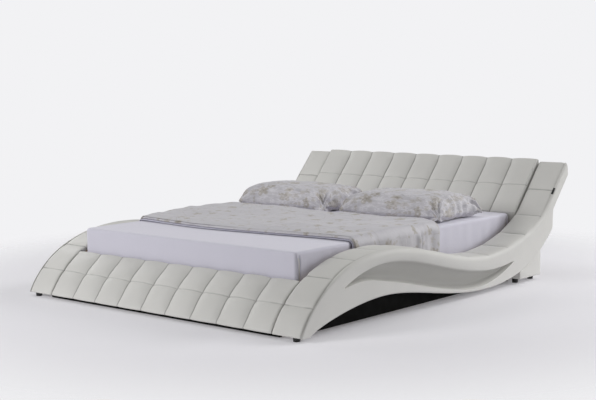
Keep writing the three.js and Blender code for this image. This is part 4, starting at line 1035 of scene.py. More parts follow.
class WAVEBED_OT_side_bands(bpy.types.Operator):
    """Model the quilted bands on top of the sides"""

    bl_idname = "wave_bed.side_bands"
    bl_label = "Side Bands"

    def execute(self, context):
        quilt = context.scene.wave_bed_quilt
        places = cell_places(BAND_BOUNDS)
        stations = Stations(places)
        along = stations.top[:, :1]
        outer = (OUTSIDE_HALF - stations.ridge() - SEAT_GAP)[:, None]
        xs = INSIDE_HALF + (outer - INSIDE_HALF) * BAND_SHARES
        flat = stations.flat(xs)
        to_inner, to_outer = xs - INSIDE_HALF, outer - xs
        to_row = wandering(seam_distance(places, BAND_BOUNDS[1:-1]), flat, *BAND_WANDER, 3)
        groove = table_value(GROOVE_SHARES, stations.arc / WAVE_LENGTH)[:, None]
        at_head = smoothstep(along, MATTRESS_LENGTH, MATTRESS_LENGTH + HEAD_BLEND)
        inner_roll = BAND_INNER_ROLL + (BAND_HEAD_ROLL - BAND_INNER_ROLL) * at_head
        dips = rounded_edge(to_inner, inner_roll) + rounded_edge(to_outer, BAND_OUTER_ROLL * groove)
        dips += rounded_edge(OUTSIDE_HALF - xs, stations.roll()[:, None])
        dips += rounded_edge(stations.to_end()[:, None], END_ROLL)
        dips += seam_dip(to_row, quilt.row_depth, *ROW_SEAM) + BAND_SINK
        crown = cell_swell(places, BAND_BOUNDS)[:, None] * cell_swell(BAND_SHARES, [0, 1], 4)
        dips -= quilt.cell_crown * crown
        # Painted shade along the row seams, the groove beside the side and the gaps at the foot and head
        inner_shade = bell(to_inner, *BAND_FOOT_SHADE) * (along < 0)
        inner_shade += bell(to_inner, *BAND_HEAD_SHADE) * (along > MATTRESS_LENGTH)
        outer_shade = bell(to_outer, *BAND_EDGE_SHADE) * groove
        seam_shade = np.maximum.reduce([bell(to_row, *BAND_ROW_SHADE), outer_shade, inner_shade])
        to_seam = np.minimum.reduce([to_row, to_inner, to_outer]).reshape(-1)
        height, size = BAND_UNEVEN
        for side, seed in (("right", 11), ("left", 47)):
            folds = puckers(flat, to_seam, quilt.pucker_depth, seed)
            folds += height * soft_noise(flat, size, seed + 5)
            quilted_pad(
                f"leather_band_{side}", f"side_pad_{side}", stations, xs, dips, folds, PAD_THICKNESS, seam_shade,
                mirrored=side == "left",
            )
        return {"FINISHED"}


def quilted_board(name, node, stations, places, row_seam, from_end, thickness, seed, sides):
    """A pad quilted in columns and rows across the whole bed.

    The sides are the share of the full depth that its column seams have, and the roll and fall of its edges.
    """
    column_share, roll, fall = sides
    quilt = bpy.context.scene.wave_bed_quilt
    half = INSIDE_HALF - SEAT_GAP
    bounds = np.linspace(-half, half, COLUMN_COUNT + 1)
    across = cell_places(bounds)
    xs = np.broadcast_to(across, (len(places), len(across)))
    flat = stations.flat(xs)
    to_column = seam_distance(across, bounds[1:-1])[None, :]
    to_side = (half - np.abs(across))[None, :]
    to_row = wandering(seam_distance(places, [row_seam]), flat, *BOARD_WANDER, seed + 8)
    swell_along = cell_swell(places, [places[0], row_seam, places[-1]])[:, None]
    crown = cell_swell(across, bounds)[None, :] * (1 - ROW_CROWN_SHARE + ROW_CROWN_SHARE * swell_along)
    opening = smoothstep(from_end, 0.0, BOARD_END_REACH)[:, None]
    dips = seam_dip(to_column, quilt.column_depth * column_share, *COLUMN_SEAM)
    dips = dips + fall * rounded_edge(to_side, roll) / roll
    dips = dips * (BOARD_END_SHARE + (1 - BOARD_END_SHARE) * opening)
    dips = dips + seam_dip(to_row, quilt.row_depth, *ROW_SEAM) - quilt.cell_crown * crown
    dips = dips + rounded_edge(from_end[:, None], BOARD_END_ROLL) + BOARD_SINK
    to_seam = np.minimum(to_column, to_row).reshape(-1)
    height, size = BOARD_UNEVEN
    folds = puckers(flat, to_seam, quilt.pucker_depth, seed) + height * soft_noise(flat, size, seed + 3)
    # Painted shade along the column and row seams and beside the gaps at the sides
    across_shade = np.maximum(bell(to_column, *BOARD_COLUMN_SHADE), bell(to_side, *BOARD_SIDE_SHADE))
    seam_shade = np.maximum(bell(to_row, *BOARD_ROW_SHADE), across_shade)
    return quilted_pad(name, node, stations, xs, dips, folds, thickness, seam_shade)


class WAVEBED_OT_footboard(bpy.types.Operator):
    """Model the quilted slope at the foot"""

    bl_idname = "wave_bed.footboard"
    bl_label = "Footboard"

    def execute(self, context):
        end = arc_at_y(-FOOT_FIT)
        places = cell_places([0, FIRST_CELL, end])
        wave = Stations(places)
        upright = smoothstep(places, 0, end)[:, None]
        straight = np.concatenate([1 - upright, -upright], axis=1)
        blend = 4 * upright * (1 - upright)
        direction = unit(straight * (1 - blend) + wave.inward * blend)
        quilted_board(
            "leather_footboard", "footboard_pad", BoardStations(places, wave.top, direction, wave.inward),
            places, FIRST_CELL, np.minimum(places, end - places), PAD_THICKNESS, 71, FOOT_SIDES,
        )
        return {"FINISHED"}


class WAVEBED_OT_headboard(bpy.types.Operator):
    """Model the quilted headboard that stands proud of the bands"""

    bl_idname = "wave_bed.headboard"
    bl_label = "Headboard"

    def execute(self, context):
        pad_line = head_top - HEAD_INWARD * HEADBOARD_PROUD
        bend = (pad_line[0] - MATTRESS_LENGTH - HEAD_FIT) / UP[0]
        length = bend + pad_line[1] - UP[1] * bend - DECK_Z
        places = cell_places([-HEAD_PAD_LIFT, CELL_PITCH, bend, length])
        turn = smoothstep(places, bend - BEND_REACH, bend + BEND_REACH)[:, None]
        inward = unit(HEAD_INWARD * (1 - turn) + np.array([1.0, 0.0]) * turn)
        top = pad_line - UP * np.minimum(places, bend)[:, None]
        top[:, 1] -= np.maximum(0, places - bend)
        start = smoothstep(places, -HEAD_PAD_LIFT, CELL_PITCH / 2)[:, None]
        direction = unit(unit(head_top_back[None, :] - head_top) * (1 - start) + inward * start)
        quilted_board(
            "leather_headboard", "headboard_pad", BoardStations(places, top, direction, inward), places,
            CELL_PITCH, places + HEAD_PAD_LIFT, PAD_THICKNESS + HEADBOARD_PROUD, 93, HEAD_SIDES,
        )
        return {"FINISHED"}


class WAVEBED_OT_blocks(bpy.types.Operator):
    """Round the rear blocks and the back board, and cover the open edges of the boards between them"""

    bl_idname = "wave_bed.blocks"
    bl_label = "Blocks and Back Board"

    def execute(self, context):
        for node, name, rounding in (
            ("rear_block_right", "leather_block_right", BLOCK_ROUNDING),
            ("rear_block_left", "leather_block_left", BLOCK_ROUNDING),
            ("headboard_back", "leather_back", BACK_ROUNDING),
        ):
            dressed(softened(node, name, rounding), "leather", node)
        for node in ("headboard_core", "side_rib_right", "side_rib_left"):
            board = dressed(softened(node, f"covered_{node}", COVERED_ROUNDING, 2), "timber", node)
            board.data.materials.append(the_material("leather"))
            for face in board.data.polygons:
                behind = face.normal.y > 0.2 and face.center.y > SHEET_HIGH.y
                at_end = node == "headboard_core" and abs(face.normal.x) > 0.2
                face.material_index = int(behind or at_end)
        return {"FINISHED"}


class WAVEBED_OT_base(bpy.types.Operator):
    """Give the timber, steel, board and plastic pieces of the base their finishes"""

    bl_idname = "wave_bed.base"
    bl_label = "Slatted Base and Feet"

    def execute(self, context):
        for part in frame["record"]["subparts"]:
            finish = part["material_slot"]
            if finish in BASE_FINISHES:
                mesh = frame["nodes"][part["node"]].data
                mesh.materials.clear()
                mesh.materials.append(the_material(finish))
        return {"FINISHED"}


# Bedding


def rectangle_loop(half_x, half_y, radius):
    """Points round a rectangle with rounded corners, closer together beside its corners."""
    across, along, corner = SHEET_COUNTS

    def arc_point(quarter, share):
        sign_x = 1 if quarter in (0, 3) else -1
        sign_y = 1 if quarter < 2 else -1
        angle = (quarter + share) * math.pi / 2
        centre = np.array([sign_x * (half_x - radius), sign_y * (half_y - radius)])
        return centre + radius * np.array([math.cos(angle), math.sin(angle)])

    points = []
    for quarter in range(4):
        points += [arc_point(quarter, k / corner) for k in range(corner + 1)]
        start, end = points[-1], arc_point((quarter + 1) % 4, 0)
        steps = along if quarter % 2 else across
        for share in np.arange(1, steps) / steps:
            eased = share - SHEET_EASE * math.sin(2 * math.pi * share) / (2 * math.pi)
            points.append(start + (end - start) * eased)
    return np.array(points)


def sheet_rings():
    """Rings of the sheet from its hem up the sides, over the rounded edge and across its crowned top."""
    half_x, half_y = SHEET_HIGH.x, MATTRESS_LENGTH / 2
    high = SHEET_HIGH.z - SHEET_SAG
    straight = high - SHEET_EDGE
    sides, edge, near, middle = SHEET_ROWS
    levels = [(0.0, z) for z in np.linspace(SHEET_LOW.z, straight, sides)]
    for angle in np.linspace(0, math.pi / 2, edge)[1:]:
        levels.append((SHEET_EDGE * (1 - math.cos(angle)), straight + SHEET_EDGE * math.sin(angle)))
    rim = np.linspace(SHEET_EDGE, SHEET_RIM, near)[1:]
    for inset in np.concatenate([rim, np.linspace(SHEET_RIM, half_x - SHEET_LAST_HALF, middle)[1:]]):
        rise = math.sin(math.pi / 2 * min(1, inset / (half_x * SHEET_CROWN_SHARE)))
        levels.append((inset, high + SHEET_CROWN * rise))
    rings = []
    for inset, z in levels:
        radius = max(SHEET_CORNER - inset * SHEET_CORNER_LOSS, SHEET_CORNER_LEAST)
        loop = rectangle_loop(half_x - inset, half_y - inset, radius)
        rings.append(np.column_stack([loop[:, 0], loop[:, 1] + MIDDLE_Y, np.full(len(loop), z)]))
    return np.array(rings)


def boxed_uv(piece):
    """The flat cloth's place of each point of the sheet: its top from above, its sides by their height."""
    x, y, z = read_points(piece).T
    drop = SHEET_HIGH.z - z
    on_side = np.abs(x) / SHEET_HIGH.x > np.abs(y - MIDDLE_Y) / (MATTRESS_LENGTH / 2)
    u = x + np.where(on_side, np.sign(x) * drop, 0)
    v = y + np.where(on_side, 0, np.sign(y) * drop)
    flat_uv(piece, np.stack([u, v], axis=1))


def wrinkled_sheet(points, wrinkle):
    """Wrinkles the sides and top of the sheet, and lays a pleat beside each of its corners."""
    x, y = points[:, 0].copy(), points[:, 1] - MIDDLE_Y
    out_x = np.clip((np.abs(x) - SHEET_HIGH.x) / SHEET_MARGIN + 1, 0, 1)
    out_y = np.clip((np.abs(y) - MATTRESS_LENGTH / 2) / SHEET_MARGIN + 1, 0, 1)
    side = np.maximum(out_x, out_y)
    wavy = relief(points, *SHEET_WAVES) + relief(points, *SHEET_FINE_WAVES)
    outward = np.column_stack([np.sign(x) * out_x, np.sign(y) * out_y, np.zeros(len(points))])
    points += outward * (wrinkle * (wavy - SHEET_WAVE_LEAN) * side)[:, None]
    low_share = smoothstep(SHEET_HIGH.z - points[:, 2], *PLEAT_BLEND)
    for sign_x, sign_y in product((-1, 1), repeat=2):
        from_corner = sign_y * (MIDDLE_Y + sign_y * MATTRESS_LENGTH / 2 - points[:, 1])
        here = (out_x > 0.9) * (points[:, 0] * sign_x > 0) * (from_corner < PLEAT_REACH)
        lean = from_corner - PLEAT_START - PLEAT_SLANT * low_share
        fold = bell(lean, *PLEAT_RIDGE) - bell(lean - PLEAT_GAP, *PLEAT_TUCK)
        points[:, 0] += sign_x * fold * low_share * here
    dents = relief(points, *SHEET_DENTS) - SHEET_DENT_LEAN
    points[:, 2] += (1 - side) * wrinkle * SHEET_TOP_SHARE * dents
    return points


class WAVEBED_OT_mattress(bpy.types.Operator):
    """Model the mattress with its piped edges, and the fitted sheet pulled over it"""

    bl_idname = "wave_bed.mattress"
    bl_label = "Mattress and Fitted Sheet"

    def execute(self, context):
        self.make_mattress()
        self.make_sheet(context.scene.wave_bed_bedding.sheet_wrinkle)
        return {"FINISHED"}

    def make_mattress(self):
        inset = Vector((CORE_INSET, CORE_INSET, 0))
        low, high = MATTRESS_LOW + inset, MATTRESS_HIGH - inset - Vector((0, 0, CORE_INSET))
        bpy.ops.object.select_all(action="DESELECT")
        bpy.ops.mesh.primitive_cube_add(size=1)
        core = named(bpy.context.object, "mattress_core")
        core.data.transform(Matrix.Translation((low + high) / 2) @ Matrix.Diagonal((*(high - low), 1)))
        finish_with(core, "BEVEL", width=CORE_ROUNDING, segments=5)
        with edit_mode("DESELECT"):
            bpy.ops.mesh.select_mode(type="FACE")
        for face in core.data.polygons:
            face.select = abs(face.normal.z) > 0.99
        bpy.ops.object.mode_set(mode="EDIT")
        bpy.ops.mesh.inset(thickness=PIPING_WIDTH)
        bpy.ops.mesh.inset(**PIPING_GROOVE)
        bpy.ops.object.mode_set(mode="OBJECT")
        smooth_below(core, MATTRESS_EDGE_DEGREES)
        dressed(core, "ticking", "mattress", "mattress")

    def make_sheet(self, wrinkle):
        rings = sheet_rings()
        sheet = grid_piece("fitted_cover", np.concatenate([rings, rings[:, :1]], axis=1))
        merge_points(SHEET_MERGE)
        boxed_uv(sheet)
        write_points(sheet, wrinkled_sheet(read_points(sheet), wrinkle))
        finish_with(sheet, "SOLIDIFY", thickness=SHEET_CLOTH, offset=-1.0, use_even_offset=False)
        bpy.ops.object.shade_smooth()
        dressed(sheet, "sheet", "fitted_sheet", "mattress")


def duvet_section():
    """From the left hem to the right one: the way along the cloth, X, the drop and how upright it is."""
    bend = DUVET_TURN * math.pi / 2
    flat_half = SHEET_HIGH.x + DUVET_MARGIN - DUVET_TURN
    flap = DUVET_HIGH.z - DUVET_LOW.z - DUVET_HEM_GAP
    on_top, in_bend, in_flap = (
        np.linspace(0, reach, count) for reach, count in zip((flat_half, bend, flap), DUVET_COUNTS)
    )
    s = np.concatenate([on_top, flat_half + in_bend[1:], flat_half + bend + in_flap[1:]])
    angle = np.clip((s - flat_half) / DUVET_TURN, 0, math.pi / 2)
    x = np.minimum(s, flat_half) + DUVET_TURN * np.sin(angle)
    drop = DUVET_TURN * (1 - np.cos(angle)) + np.maximum(s - flat_half - bend, 0)
    half = np.column_stack([s, x, drop, angle / (math.pi / 2)])
    return np.concatenate([half[:0:-1] * (-1, -1, 1, 1), half]).T


class WAVEBED_OT_duvet(bpy.types.Operator):
    """Lay the duvet over the mattress with a flap down each side"""

    bl_idname = "wave_bed.duvet"
    bl_label = "Duvet"

    def execute(self, context):
        s, x, drop, side = duvet_section()
        head_y = DUVET_HIGH.y
        across = (np.clip(x / DUVET_HIGH.x, -1, 1) + 1) / 2
        foot_y = FOOT_Y + MATTRESS_LENGTH * table_value(DUVET_FOOT_SHARES, across)
        lip = table_value(DUVET_LIP, x) * (1 + relief(s[:, None], *DUVET_LIP_UNEVEN))
        hang = smoothstep(drop, *FLAP_HANG_START) * (1 - smoothstep(drop, *FLAP_HANG_END))
        z = SHEET_HIGH.z + DUVET_CLEARANCE - drop

        def row(y, height, inner_y):
            """The outer points, the inner points and the places on the flat cloth."""
            flat = np.column_stack([s, y, np.zeros(len(s))])
            body = height * (1 - FLAP_THINNING * side)
            from_head = head_y - y
            fold = relief(flat, *FLAP_SWELL) + FLAP_STAND
            fold += relief(flat + FLAP_CREASE_LAYER, *FLAP_CREASES, ridged)
            for place, height_there, width in FLAP_FOLDS:
                fold += bell(from_head - place, height_there, width) * hang
            fold += relief(flat, *FLAP_GATHERS) * smoothstep(-from_head, *FLAP_GATHER_SPAN)
            outer_x = x + np.sign(x) * side * (body - FLAP_OUTER_INSET + fold)
            outer = np.column_stack([outer_x, y, z + (1 - side) * body])
            inner = np.column_stack([x - np.sign(x) * side * FLAP_INNER_INSET, inner_y, z])
            return outer, inner, flat[:, :2]

        def top_height(y):
            flat = np.column_stack([s, y, np.zeros(len(s))])
            swell = DUVET_SWELL * (soft_noise(flat, DUVET_SWELL_SIZE, DUVET_SWELL_SEED) + 0.5)
            swell += relief(flat, *DUVET_DIMPLES)
            start = smoothstep(y - foot_y, *DUVET_FOOT_BLEND)
            puffed = bell(x - DUVET_PUFF_X, *DUVET_PUFF) * smoothstep(y - foot_y, *DUVET_PUFF_START)
            puffed *= 1 - smoothstep(head_y - y, *DUVET_PUFF_END)
            body = DUVET_THICKNESS + np.maximum(swell, -DUVET_SINK) + relief(flat, *DUVET_CREASES, ridged)
            body += puffed
            return DUVET_EDGE[-1][2] * (1 - start) + body * start

        made = []
        for number, (lip_share, inset, height) in enumerate(DUVET_EDGE):
            inner_y = foot_y + DUVET_INNER_START + DUVET_INNER_STEP * number
            made.append(row(foot_y + inset + lip * lip_share, height, inner_y))
        for share in DUVET_ROWS:
            y = foot_y + (head_y - foot_y) * share
            end = (1 - share) * (head_y - FOOT_Y - DUVET_FOOT_SETBACK)
            round_share = float(1 - rounded_edge(end, DUVET_HEAD_ROLL) / DUVET_HEAD_ROLL)
            puff = DUVET_HEAD_SHARE + (1 - DUVET_HEAD_SHARE) * round_share
            made.append(row(y, top_height(y) * puff, y))
        outer, inner, uv = (np.array(kind) for kind in zip(*made))
        duvet = closed_loft("duvet_quilt", np.concatenate([outer, inner[:, ::-1]], axis=1))
        flat_uv(duvet, np.concatenate([uv, uv[:, ::-1]], axis=1).reshape(-1, 2))
        bpy.ops.object.shade_smooth()
        dressed(duvet, "print", "duvet", "duvet")
        duvet.data.materials.append(the_material("lining"))
        for face in duvet.data.polygons:
            row_numbers, column_numbers = np.divmod(face.vertices, 2 * len(s))
            under = (column_numbers >= len(s) - 1).all()
            face.material_index = int(under or (row_numbers <= DUVET_LINED_ROWS).all())
        return {"FINISHED"}


def sewn_case(name, size):
    """A filled pillow case of two layers sewn together round the edge, flat below and full above."""
    columns, rows = PILLOW_GRID
    cloth_x, cloth_y = CASE_CLOTH_SHARES
    u, v = np.meshgrid(np.linspace(-1, 1, columns + 1), np.linspace(-1, 1, rows + 1))
    flat = np.stack([u * size.x * cloth_x, v * size.y * cloth_y], axis=2)
    u, v = (np.sign(w) * (1 - (1 - np.abs(w)) ** CASE_GRID_POWER) for w in (u, v))
    x = size.x / 2 * u * (CASE_WAIST_X + CASE_EAR_X * v**CASE_EAR_POWER)
    y = size.y / 2 * v * (CASE_WAIST_Y + CASE_EAR_Y * u**CASE_EAR_POWER)
    corner = CASE_SEAM_CORNER * np.abs(u) ** CASE_SEAM_CORNER_POWER * np.abs(v) ** CASE_SEAM_CORNER_POWER
    seam = size.z * (CASE_SEAM - corner + CASE_SEAM_END * np.maximum(-u, 0) ** CASE_SEAM_END_POWER)
    top_end, base_end = (
        1 - np.abs(u) ** np.where(u < 0, *powers) for powers in (CASE_TOP_END_POWERS, CASE_BASE_END_POWERS)
    )
    full = top_end**CASE_TOP_POWER * (1 - np.abs(v) ** CASE_TOP_SIDE_POWER) ** CASE_TOP_POWER
    flat_share = (base_end * (1 - np.abs(v) ** CASE_BASE_SIDE_POWER)) ** CASE_BASE_POWER
    above = np.stack([x, y, seam + (size.z - seam) * full], axis=2)
    below = np.stack([x, y, seam * (1 - flat_share)], axis=2)
    piece = grid_piece(name, above)
    flat_uv(piece, flat.reshape(-1, 2))
    with edit_mode():
        bpy.ops.mesh.duplicate()
        bpy.ops.mesh.flip_normals()
    write_points(piece, np.concatenate([above.reshape(-1, 3), below.reshape(-1, 3)]))
    merge_points(CASE_MERGE)
    face_outwards(piece)
    return piece


def creased(piece, size, seed):
    """Puckers along the sewn edge, folds that fan out from the corners and creases across the middle."""
    points = read_points(piece)
    u, v = points[:, 0] / (size.x / 2), points[:, 1] / (size.y / 2)
    loose = 1 + CASE_LOOSENESS * smoothstep(u, *CASE_LOOSE_SPAN)
    to_edge = np.minimum((1 - np.abs(u)) * size.x, (1 - np.abs(v)) * size.y) / 2
    push = relief(points, *CASE_CREASES, seed + 1, ridged)
    push += relief(points, *CASE_PUCKERS, seed + 2) * np.exp(-to_edge / CASE_PUCKER_REACH)
    push += relief(points, *CASE_FINE_CREASES, seed + 7, ridged)
    for corner_x, corner_y in product((-1, 1), repeat=2):
        away_x, away_y = (u - corner_x) * size.x / 2, (v - corner_y) * size.y / 2
        reach = np.hypot(away_x, away_y)
        angle = np.arctan2(away_y, away_x) * CASE_FAN_COUNT + relief(points, *CASE_FAN_STRAY, seed + 3) + seed
        push += np.sin(angle) * bell(reach, *CASE_FAN) * smoothstep(reach, 0.0, CASE_FAN_START)
    push = push * loose + relief(points, *CASE_LUMPS, seed)
    write_points(piece, points + read_points(piece, "normal") * push[:, None])


def inflated(piece):
    """Blows a case up with a cloth simulation, applies the result and holds how far each point spreads."""
    only(piece)
    before = read_points(piece)
    cloth = piece.modifiers.new("cloth", "CLOTH")
    for key, value in CASE_CLOTH.items():
        setattr(cloth.settings, key, value)
    cloth.settings.effector_weights.gravity = 0
    cloth.collision_settings.use_collision = False
    cloth.point_cache.frame_start, cloth.point_cache.frame_end = 1, CASE_FRAMES
    for number in range(1, CASE_FRAMES + 1):
        bpy.context.scene.frame_set(number)
    bpy.ops.object.modifier_apply(modifier="cloth")
    bpy.context.scene.frame_set(1)
    moved = read_points(piece) - before
    length = np.linalg.norm(moved, axis=1)[:, None]
    held = np.tanh(length / CASE_SPREAD) * CASE_SPREAD / np.maximum(length, 1e-9)
    write_points(piece, before + moved * held)


def seated(piece, low, high, turn):
    """Turns the pillow a little, fits it into its own space and flattens what rests on the mattress."""
    points = read_points(piece)
    c, s = math.cos(turn), math.sin(turn)
    points[:, :2] = points[:, :2] @ np.array([[c, s], [-s, c]])
    above_seat = np.clip((points[:, 2] - CASE_SEAT_DEPTH) / CASE_SEAT_SOFTNESS, -30, 60)
    points[:, 2] = CASE_SEAT_SOFTNESS * np.log1p(np.exp(above_seat))
    points[:, :2] -= (points[:, :2].max(0) + points[:, :2].min(0)) / 2
    points[:, 2] -= points[:, 2].min()
    points *= np.array(high - low) / (points.max(0) - points.min(0))
    write_points(piece, points + np.array([(low.x + high.x) / 2, (low.y + high.y) / 2, low.z]))


class WAVEBED_OT_pillows(bpy.types.Operator):
    """Fill two sewn pillow cases and lay them on the mattress"""

    bl_idname = "wave_bed.pillows"
    bl_label = "Pillows"

    def execute(self, context):
        for node, seed, degrees in PILLOWS:
            low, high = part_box(node)
            piece = sewn_case(f"{node}_case", high - low)
            creased(piece, high - low, seed)
            inflated(piece)
            seated(piece, low, high, math.radians(degrees))
            finish_with(piece, "SUBSURF", levels=1, render_levels=1)
            bpy.ops.object.shade_smooth()
            dressed(piece, "pillow_print", node, node)
        return {"FINISHED"}


class WAVEBED_OT_tab(bpy.types.Operator):
    """Sew the plain ribbon tab to the edge of the right-hand band"""

    bl_idname = "wave_bed.tab"
    bl_label = "Edge Tab"

    def execute(self, context):
        tab = softened("edge_tab", "ribbon_tab", TAB_ROUNDING, 2)
        edge = Matrix.Translation((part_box("edge_tab")[1].x, 0, 0))
        tab.data.transform(edge @ Matrix.Diagonal((TAB_STRETCH, 1, 1, 1)) @ edge.inverted())
        dressed(tab, "ribbon", "edge_tab")
        return {"FINISHED"}


# Stage


class WAVEBED_OT_stage(bpy.types.Operator):
    """Make the floor, the soft studio light and the camera"""

    bl_idname = "wave_bed.stage"
    bl_label = "Stage"

    def execute(self, context):
        settings = context.scene.wave_bed_stage
        self.make_floor(settings)
        self.make_world(context.scene, settings)
        self.make_lights(context.scene, settings)
        self.make_camera(context.scene, settings)
        return {"FINISHED"}

    def make_floor(self, settings):
        bpy.ops.object.select_all(action="DESELECT")
        bpy.ops.mesh.primitive_plane_add(size=FLOOR_SIZE)
        floor = bpy.context.object
        floor.name = "floor"
        n = Nodes("floor")
        shade = (*settings.floor_colour, 1.0)
        n.set(Base_Color=shade, Roughness=0.7, Specular_IOR_Level=0.12)
        n.set(Emission_Color=shade, Emission_Strength=settings.floor_glow)
        distance = n.vector_math("LENGTH", n.place)["Value"]
        fade = n.ramp(distance, settings.floor_fade_start, settings.floor_fade_end)
        clear = n.add("ShaderNodeBsdfTransparent").outputs[0]
        blend = n.add("ShaderNodeMixShader", {0: fade, 1: n.shader.outputs[0], 2: clear})
        n.put(n.tree.nodes["Material Output"].inputs["Surface"], blend.outputs[0])
        floor.data.materials.append(n.material)

    def make_world(self, scene, settings):
        world = bpy.data.worlds.new("studio")
        world.use_nodes = True
        nodes, links = world.node_tree.nodes, world.node_tree.links
        fill = nodes["Background"]
        fill.inputs["Color"].default_value = (*settings.fill_colour, 1.0)
        fill.inputs["Strength"].default_value = settings.fill_strength
        backdrop = nodes.new("ShaderNodeBackground")
        backdrop.inputs["Color"].default_value = (*settings.backdrop_colour, 1.0)
        seen = nodes.new("ShaderNodeLightPath").outputs["Is Camera Ray"]
        choice = nodes.new("ShaderNodeMixShader")
        for socket, source in zip(choice.inputs, (seen, fill.outputs[0], backdrop.outputs[0])):
            links.new(source, socket)
        links.new(choice.outputs[0], nodes["World Output"].inputs["Surface"])
        scene.world = world
        scene.view_settings.view_transform = "Standard"

    def make_lights(self, scene, settings):
        for name, place, size in LIGHTS:
            light = bpy.data.lights.new(name, "AREA")
            light.shape, light.size, light.energy = "SQUARE", size, getattr(settings, f"{name}_power")
            lamp = bpy.data.objects.new(name, light)
            scene.collection.objects.link(lamp)
            lamp.location = place
            lamp.visible_camera = False
            lamp.rotation_euler = (LIGHT_AIM - Vector(place)).to_track_quat("-Z", "Y").to_euler()

    def make_camera(self, scene, settings):
        heading, dip, roll = settings.camera_heading, settings.camera_dip, settings.camera_roll
        level = math.cos(dip)
        forward = Vector((-math.sin(heading) * level, math.cos(heading) * level, -math.sin(dip)))
        right = Vector((math.cos(heading), math.sin(heading), 0))
        above = right.cross(forward)
        turned_right = right * math.cos(roll) + above * math.sin(roll)
        turned_above = above * math.cos(roll) - right * math.sin(roll)
        turn = Matrix((turned_right, turned_above, -forward)).transposed()
        data = bpy.data.cameras.new("camera")
        data.sensor_width = settings.sensor_width
        data.lens = settings.focal_pixels * settings.sensor_width / settings.photo_width
        data.clip_end = VIEW_DEPTH
        camera = bpy.data.objects.new("camera", data)
        scene.collection.objects.link(camera)
        camera.matrix_world = Matrix.Translation(Vector(settings.camera_place)) @ turn.to_4x4()
        bpy.context.scene.camera = camera


# Settings


def setting(name, description, default, **more):
    return bpy.props.FloatProperty(name=name, description=description, default=default, **more)


def length_setting(name, description, default):
    return setting(name, description, default, unit="LENGTH")


def power_setting(name, description, default):
    return setting(name, description, default, unit="POWER", min=0)


def angle_setting(name, description, default):
    return setting(name, description, default, subtype="ANGLE")


def colour_setting(name, description, *rgb):
    return bpy.props.FloatVectorProperty(
        name=name, description=description, subtype="COLOR", size=3, min=0, max=1, default=colour(*rgb)[:3],
    )


class WaveBedFinish(bpy.types.PropertyGroup):
    """Colours and surfaces"""

    leather_colour: colour_setting("Leather", "Colour of the leather", 216, 215, 211)
    leather_roughness: setting("Leather Roughness", "How dull the leather is", 0.5, min=0.1, max=1)
    grain_scale: setting("Grain", "Leather grain cells per metre", 620, min=50)
    # How dark the painted shade along the seams and in the side hollows is
    painted_seam_shade: setting("Seam Shade", "How dark the seams are", 0.72, min=0, max=1)
    sheet_colour: colour_setting("Sheet", "Colour of the fitted sheet", 221, 219, 231)
    print_colour: colour_setting("Print Ground", "Ground colour of the printed satin", 200, 198, 203)
    blossom_colour: colour_setting("Blossom", "Colour of the printed blossoms", 174, 166, 153)


class WaveBedQuilt(bpy.types.PropertyGroup):
    """Depths of the quilting"""

    column_depth: length_setting("Column Depth", "Depth of the seams between columns", 0.0155)
    row_depth: length_setting("Row Depth", "Depth of the seams between rows", 0.004)
    cell_crown: length_setting("Cell Crown", "How far the middle of a cell swells", 0.0035)
    pucker_depth: length_setting("Puckers", "Depth of the small folds beside seams", 0.0009)


class WaveBedBedding(bpy.types.PropertyGroup):
    """Bedding"""

    sheet_wrinkle: length_setting("Sheet Wrinkles", "Height of the wrinkles in the sheet", 0.0013)


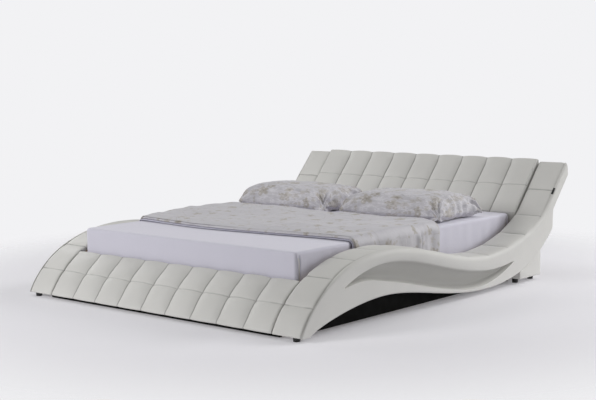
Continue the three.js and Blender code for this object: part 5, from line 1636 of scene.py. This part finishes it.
class WaveBedStage(bpy.types.PropertyGroup):
    """Floor, light and camera"""

    floor_colour: colour_setting("Floor", "Colour of the floor by the bed", 230, 229, 233)
    floor_glow: setting("Floor Glow", "Light that the floor gives by itself", 0.15, min=0)
    floor_fade_start: length_setting("Floor Fade Start", "Where the floor starts to fade away", 1.8)
    floor_fade_end: length_setting("Floor Fade End", "Where only the backdrop is left", 3.2)
    backdrop_colour: colour_setting("Backdrop", "Colour of the studio all round", 242, 242, 244)
    fill_colour: colour_setting("Fill Colour", "Colour of the light all round", 255, 255, 255)
    fill_strength: setting("Fill Light", "Strength of the light all round", 0.17, min=0)
    overhead_power: power_setting("Overhead Light", "Power of the light over the bed", 36)
    right_power: power_setting("Right Light", "Power of the light at the right", 18)
    foot_near_power: power_setting("Foot Light", "Power of the near light at the foot", 240)
    left_power: power_setting("Left Light", "Power of the light at the left", 68)
    right_rear_power: power_setting("Right Rear Light", "Power of the low light at the head, right", 104)
    rear_high_power: power_setting("High Rear Light", "Power of the high light at the head, right", 192)
    left_low_power: power_setting("Low Left Light", "Power of the low light at the foot, left", 40)
    camera_place: bpy.props.FloatVectorProperty(
        name="Camera Place", description="Where the camera stands", subtype="TRANSLATION", size=3,
        unit="LENGTH", default=(4.7699, -5.6276, 1.3044),
    )
    camera_heading: angle_setting("Camera Heading", "Turn from the bed's length", 0.7109)
    camera_dip: angle_setting("Camera Dip", "How far the camera looks down", 0.1083)
    camera_roll: angle_setting("Camera Roll", "Tilt of the camera", -0.0115)
    focal_pixels: setting("Focal Length in Pixels", "Focal length in pixels of the photo", 1246.5)
    photo_width: setting("Photo Width", "Width of the photo in pixels", 596)
    sensor_width: setting("Sensor Width", "Width of the camera's sensor in millimetres", 36)


PIECE_OPERATORS = (
    WAVEBED_OT_stage,
    WAVEBED_OT_side_panels,
    WAVEBED_OT_side_bands,
    WAVEBED_OT_footboard,
    WAVEBED_OT_headboard,
    WAVEBED_OT_blocks,
    WAVEBED_OT_base,
    WAVEBED_OT_mattress,
    WAVEBED_OT_duvet,
    WAVEBED_OT_pillows,
    WAVEBED_OT_tab,
)
SETTING_GROUPS = {
    "wave_bed_finish": WaveBedFinish,
    "wave_bed_quilt": WaveBedQuilt,
    "wave_bed_bedding": WaveBedBedding,
    "wave_bed_stage": WaveBedStage,
}


class WAVEBED_PT_panel(bpy.types.Panel):
    """The wave bed's settings and steps"""

    bl_idname = "WAVEBED_PT_panel"
    bl_label = "Wave Bed"
    bl_space_type = "VIEW_3D"
    bl_region_type = "UI"
    bl_category = "Wave Bed"

    def draw(self, context):
        for name, group in SETTING_GROUPS.items():
            box = self.layout.box()
            for key in group.__annotations__:
                box.prop(getattr(context.scene, name), key)
        for operator in PIECE_OPERATORS:
            self.layout.operator(operator.bl_idname)


CLASSES = (*SETTING_GROUPS.values(), *PIECE_OPERATORS, WAVEBED_PT_panel)


def register():
    for each in CLASSES:
        bpy.utils.register_class(each)
    for name, group in SETTING_GROUPS.items():
        setattr(bpy.types.Scene, name, bpy.props.PointerProperty(type=group))


def unregister():
    for name in SETTING_GROUPS:
        delattr(bpy.types.Scene, name)
    for each in reversed(CLASSES):
        bpy.utils.unregister_class(each)


def main():
    register()
    for operator in PIECE_OPERATORS:
        category, name = operator.bl_idname.split(".")
        getattr(getattr(bpy.ops, category), name)()


if __name__ == "__main__":
    main()
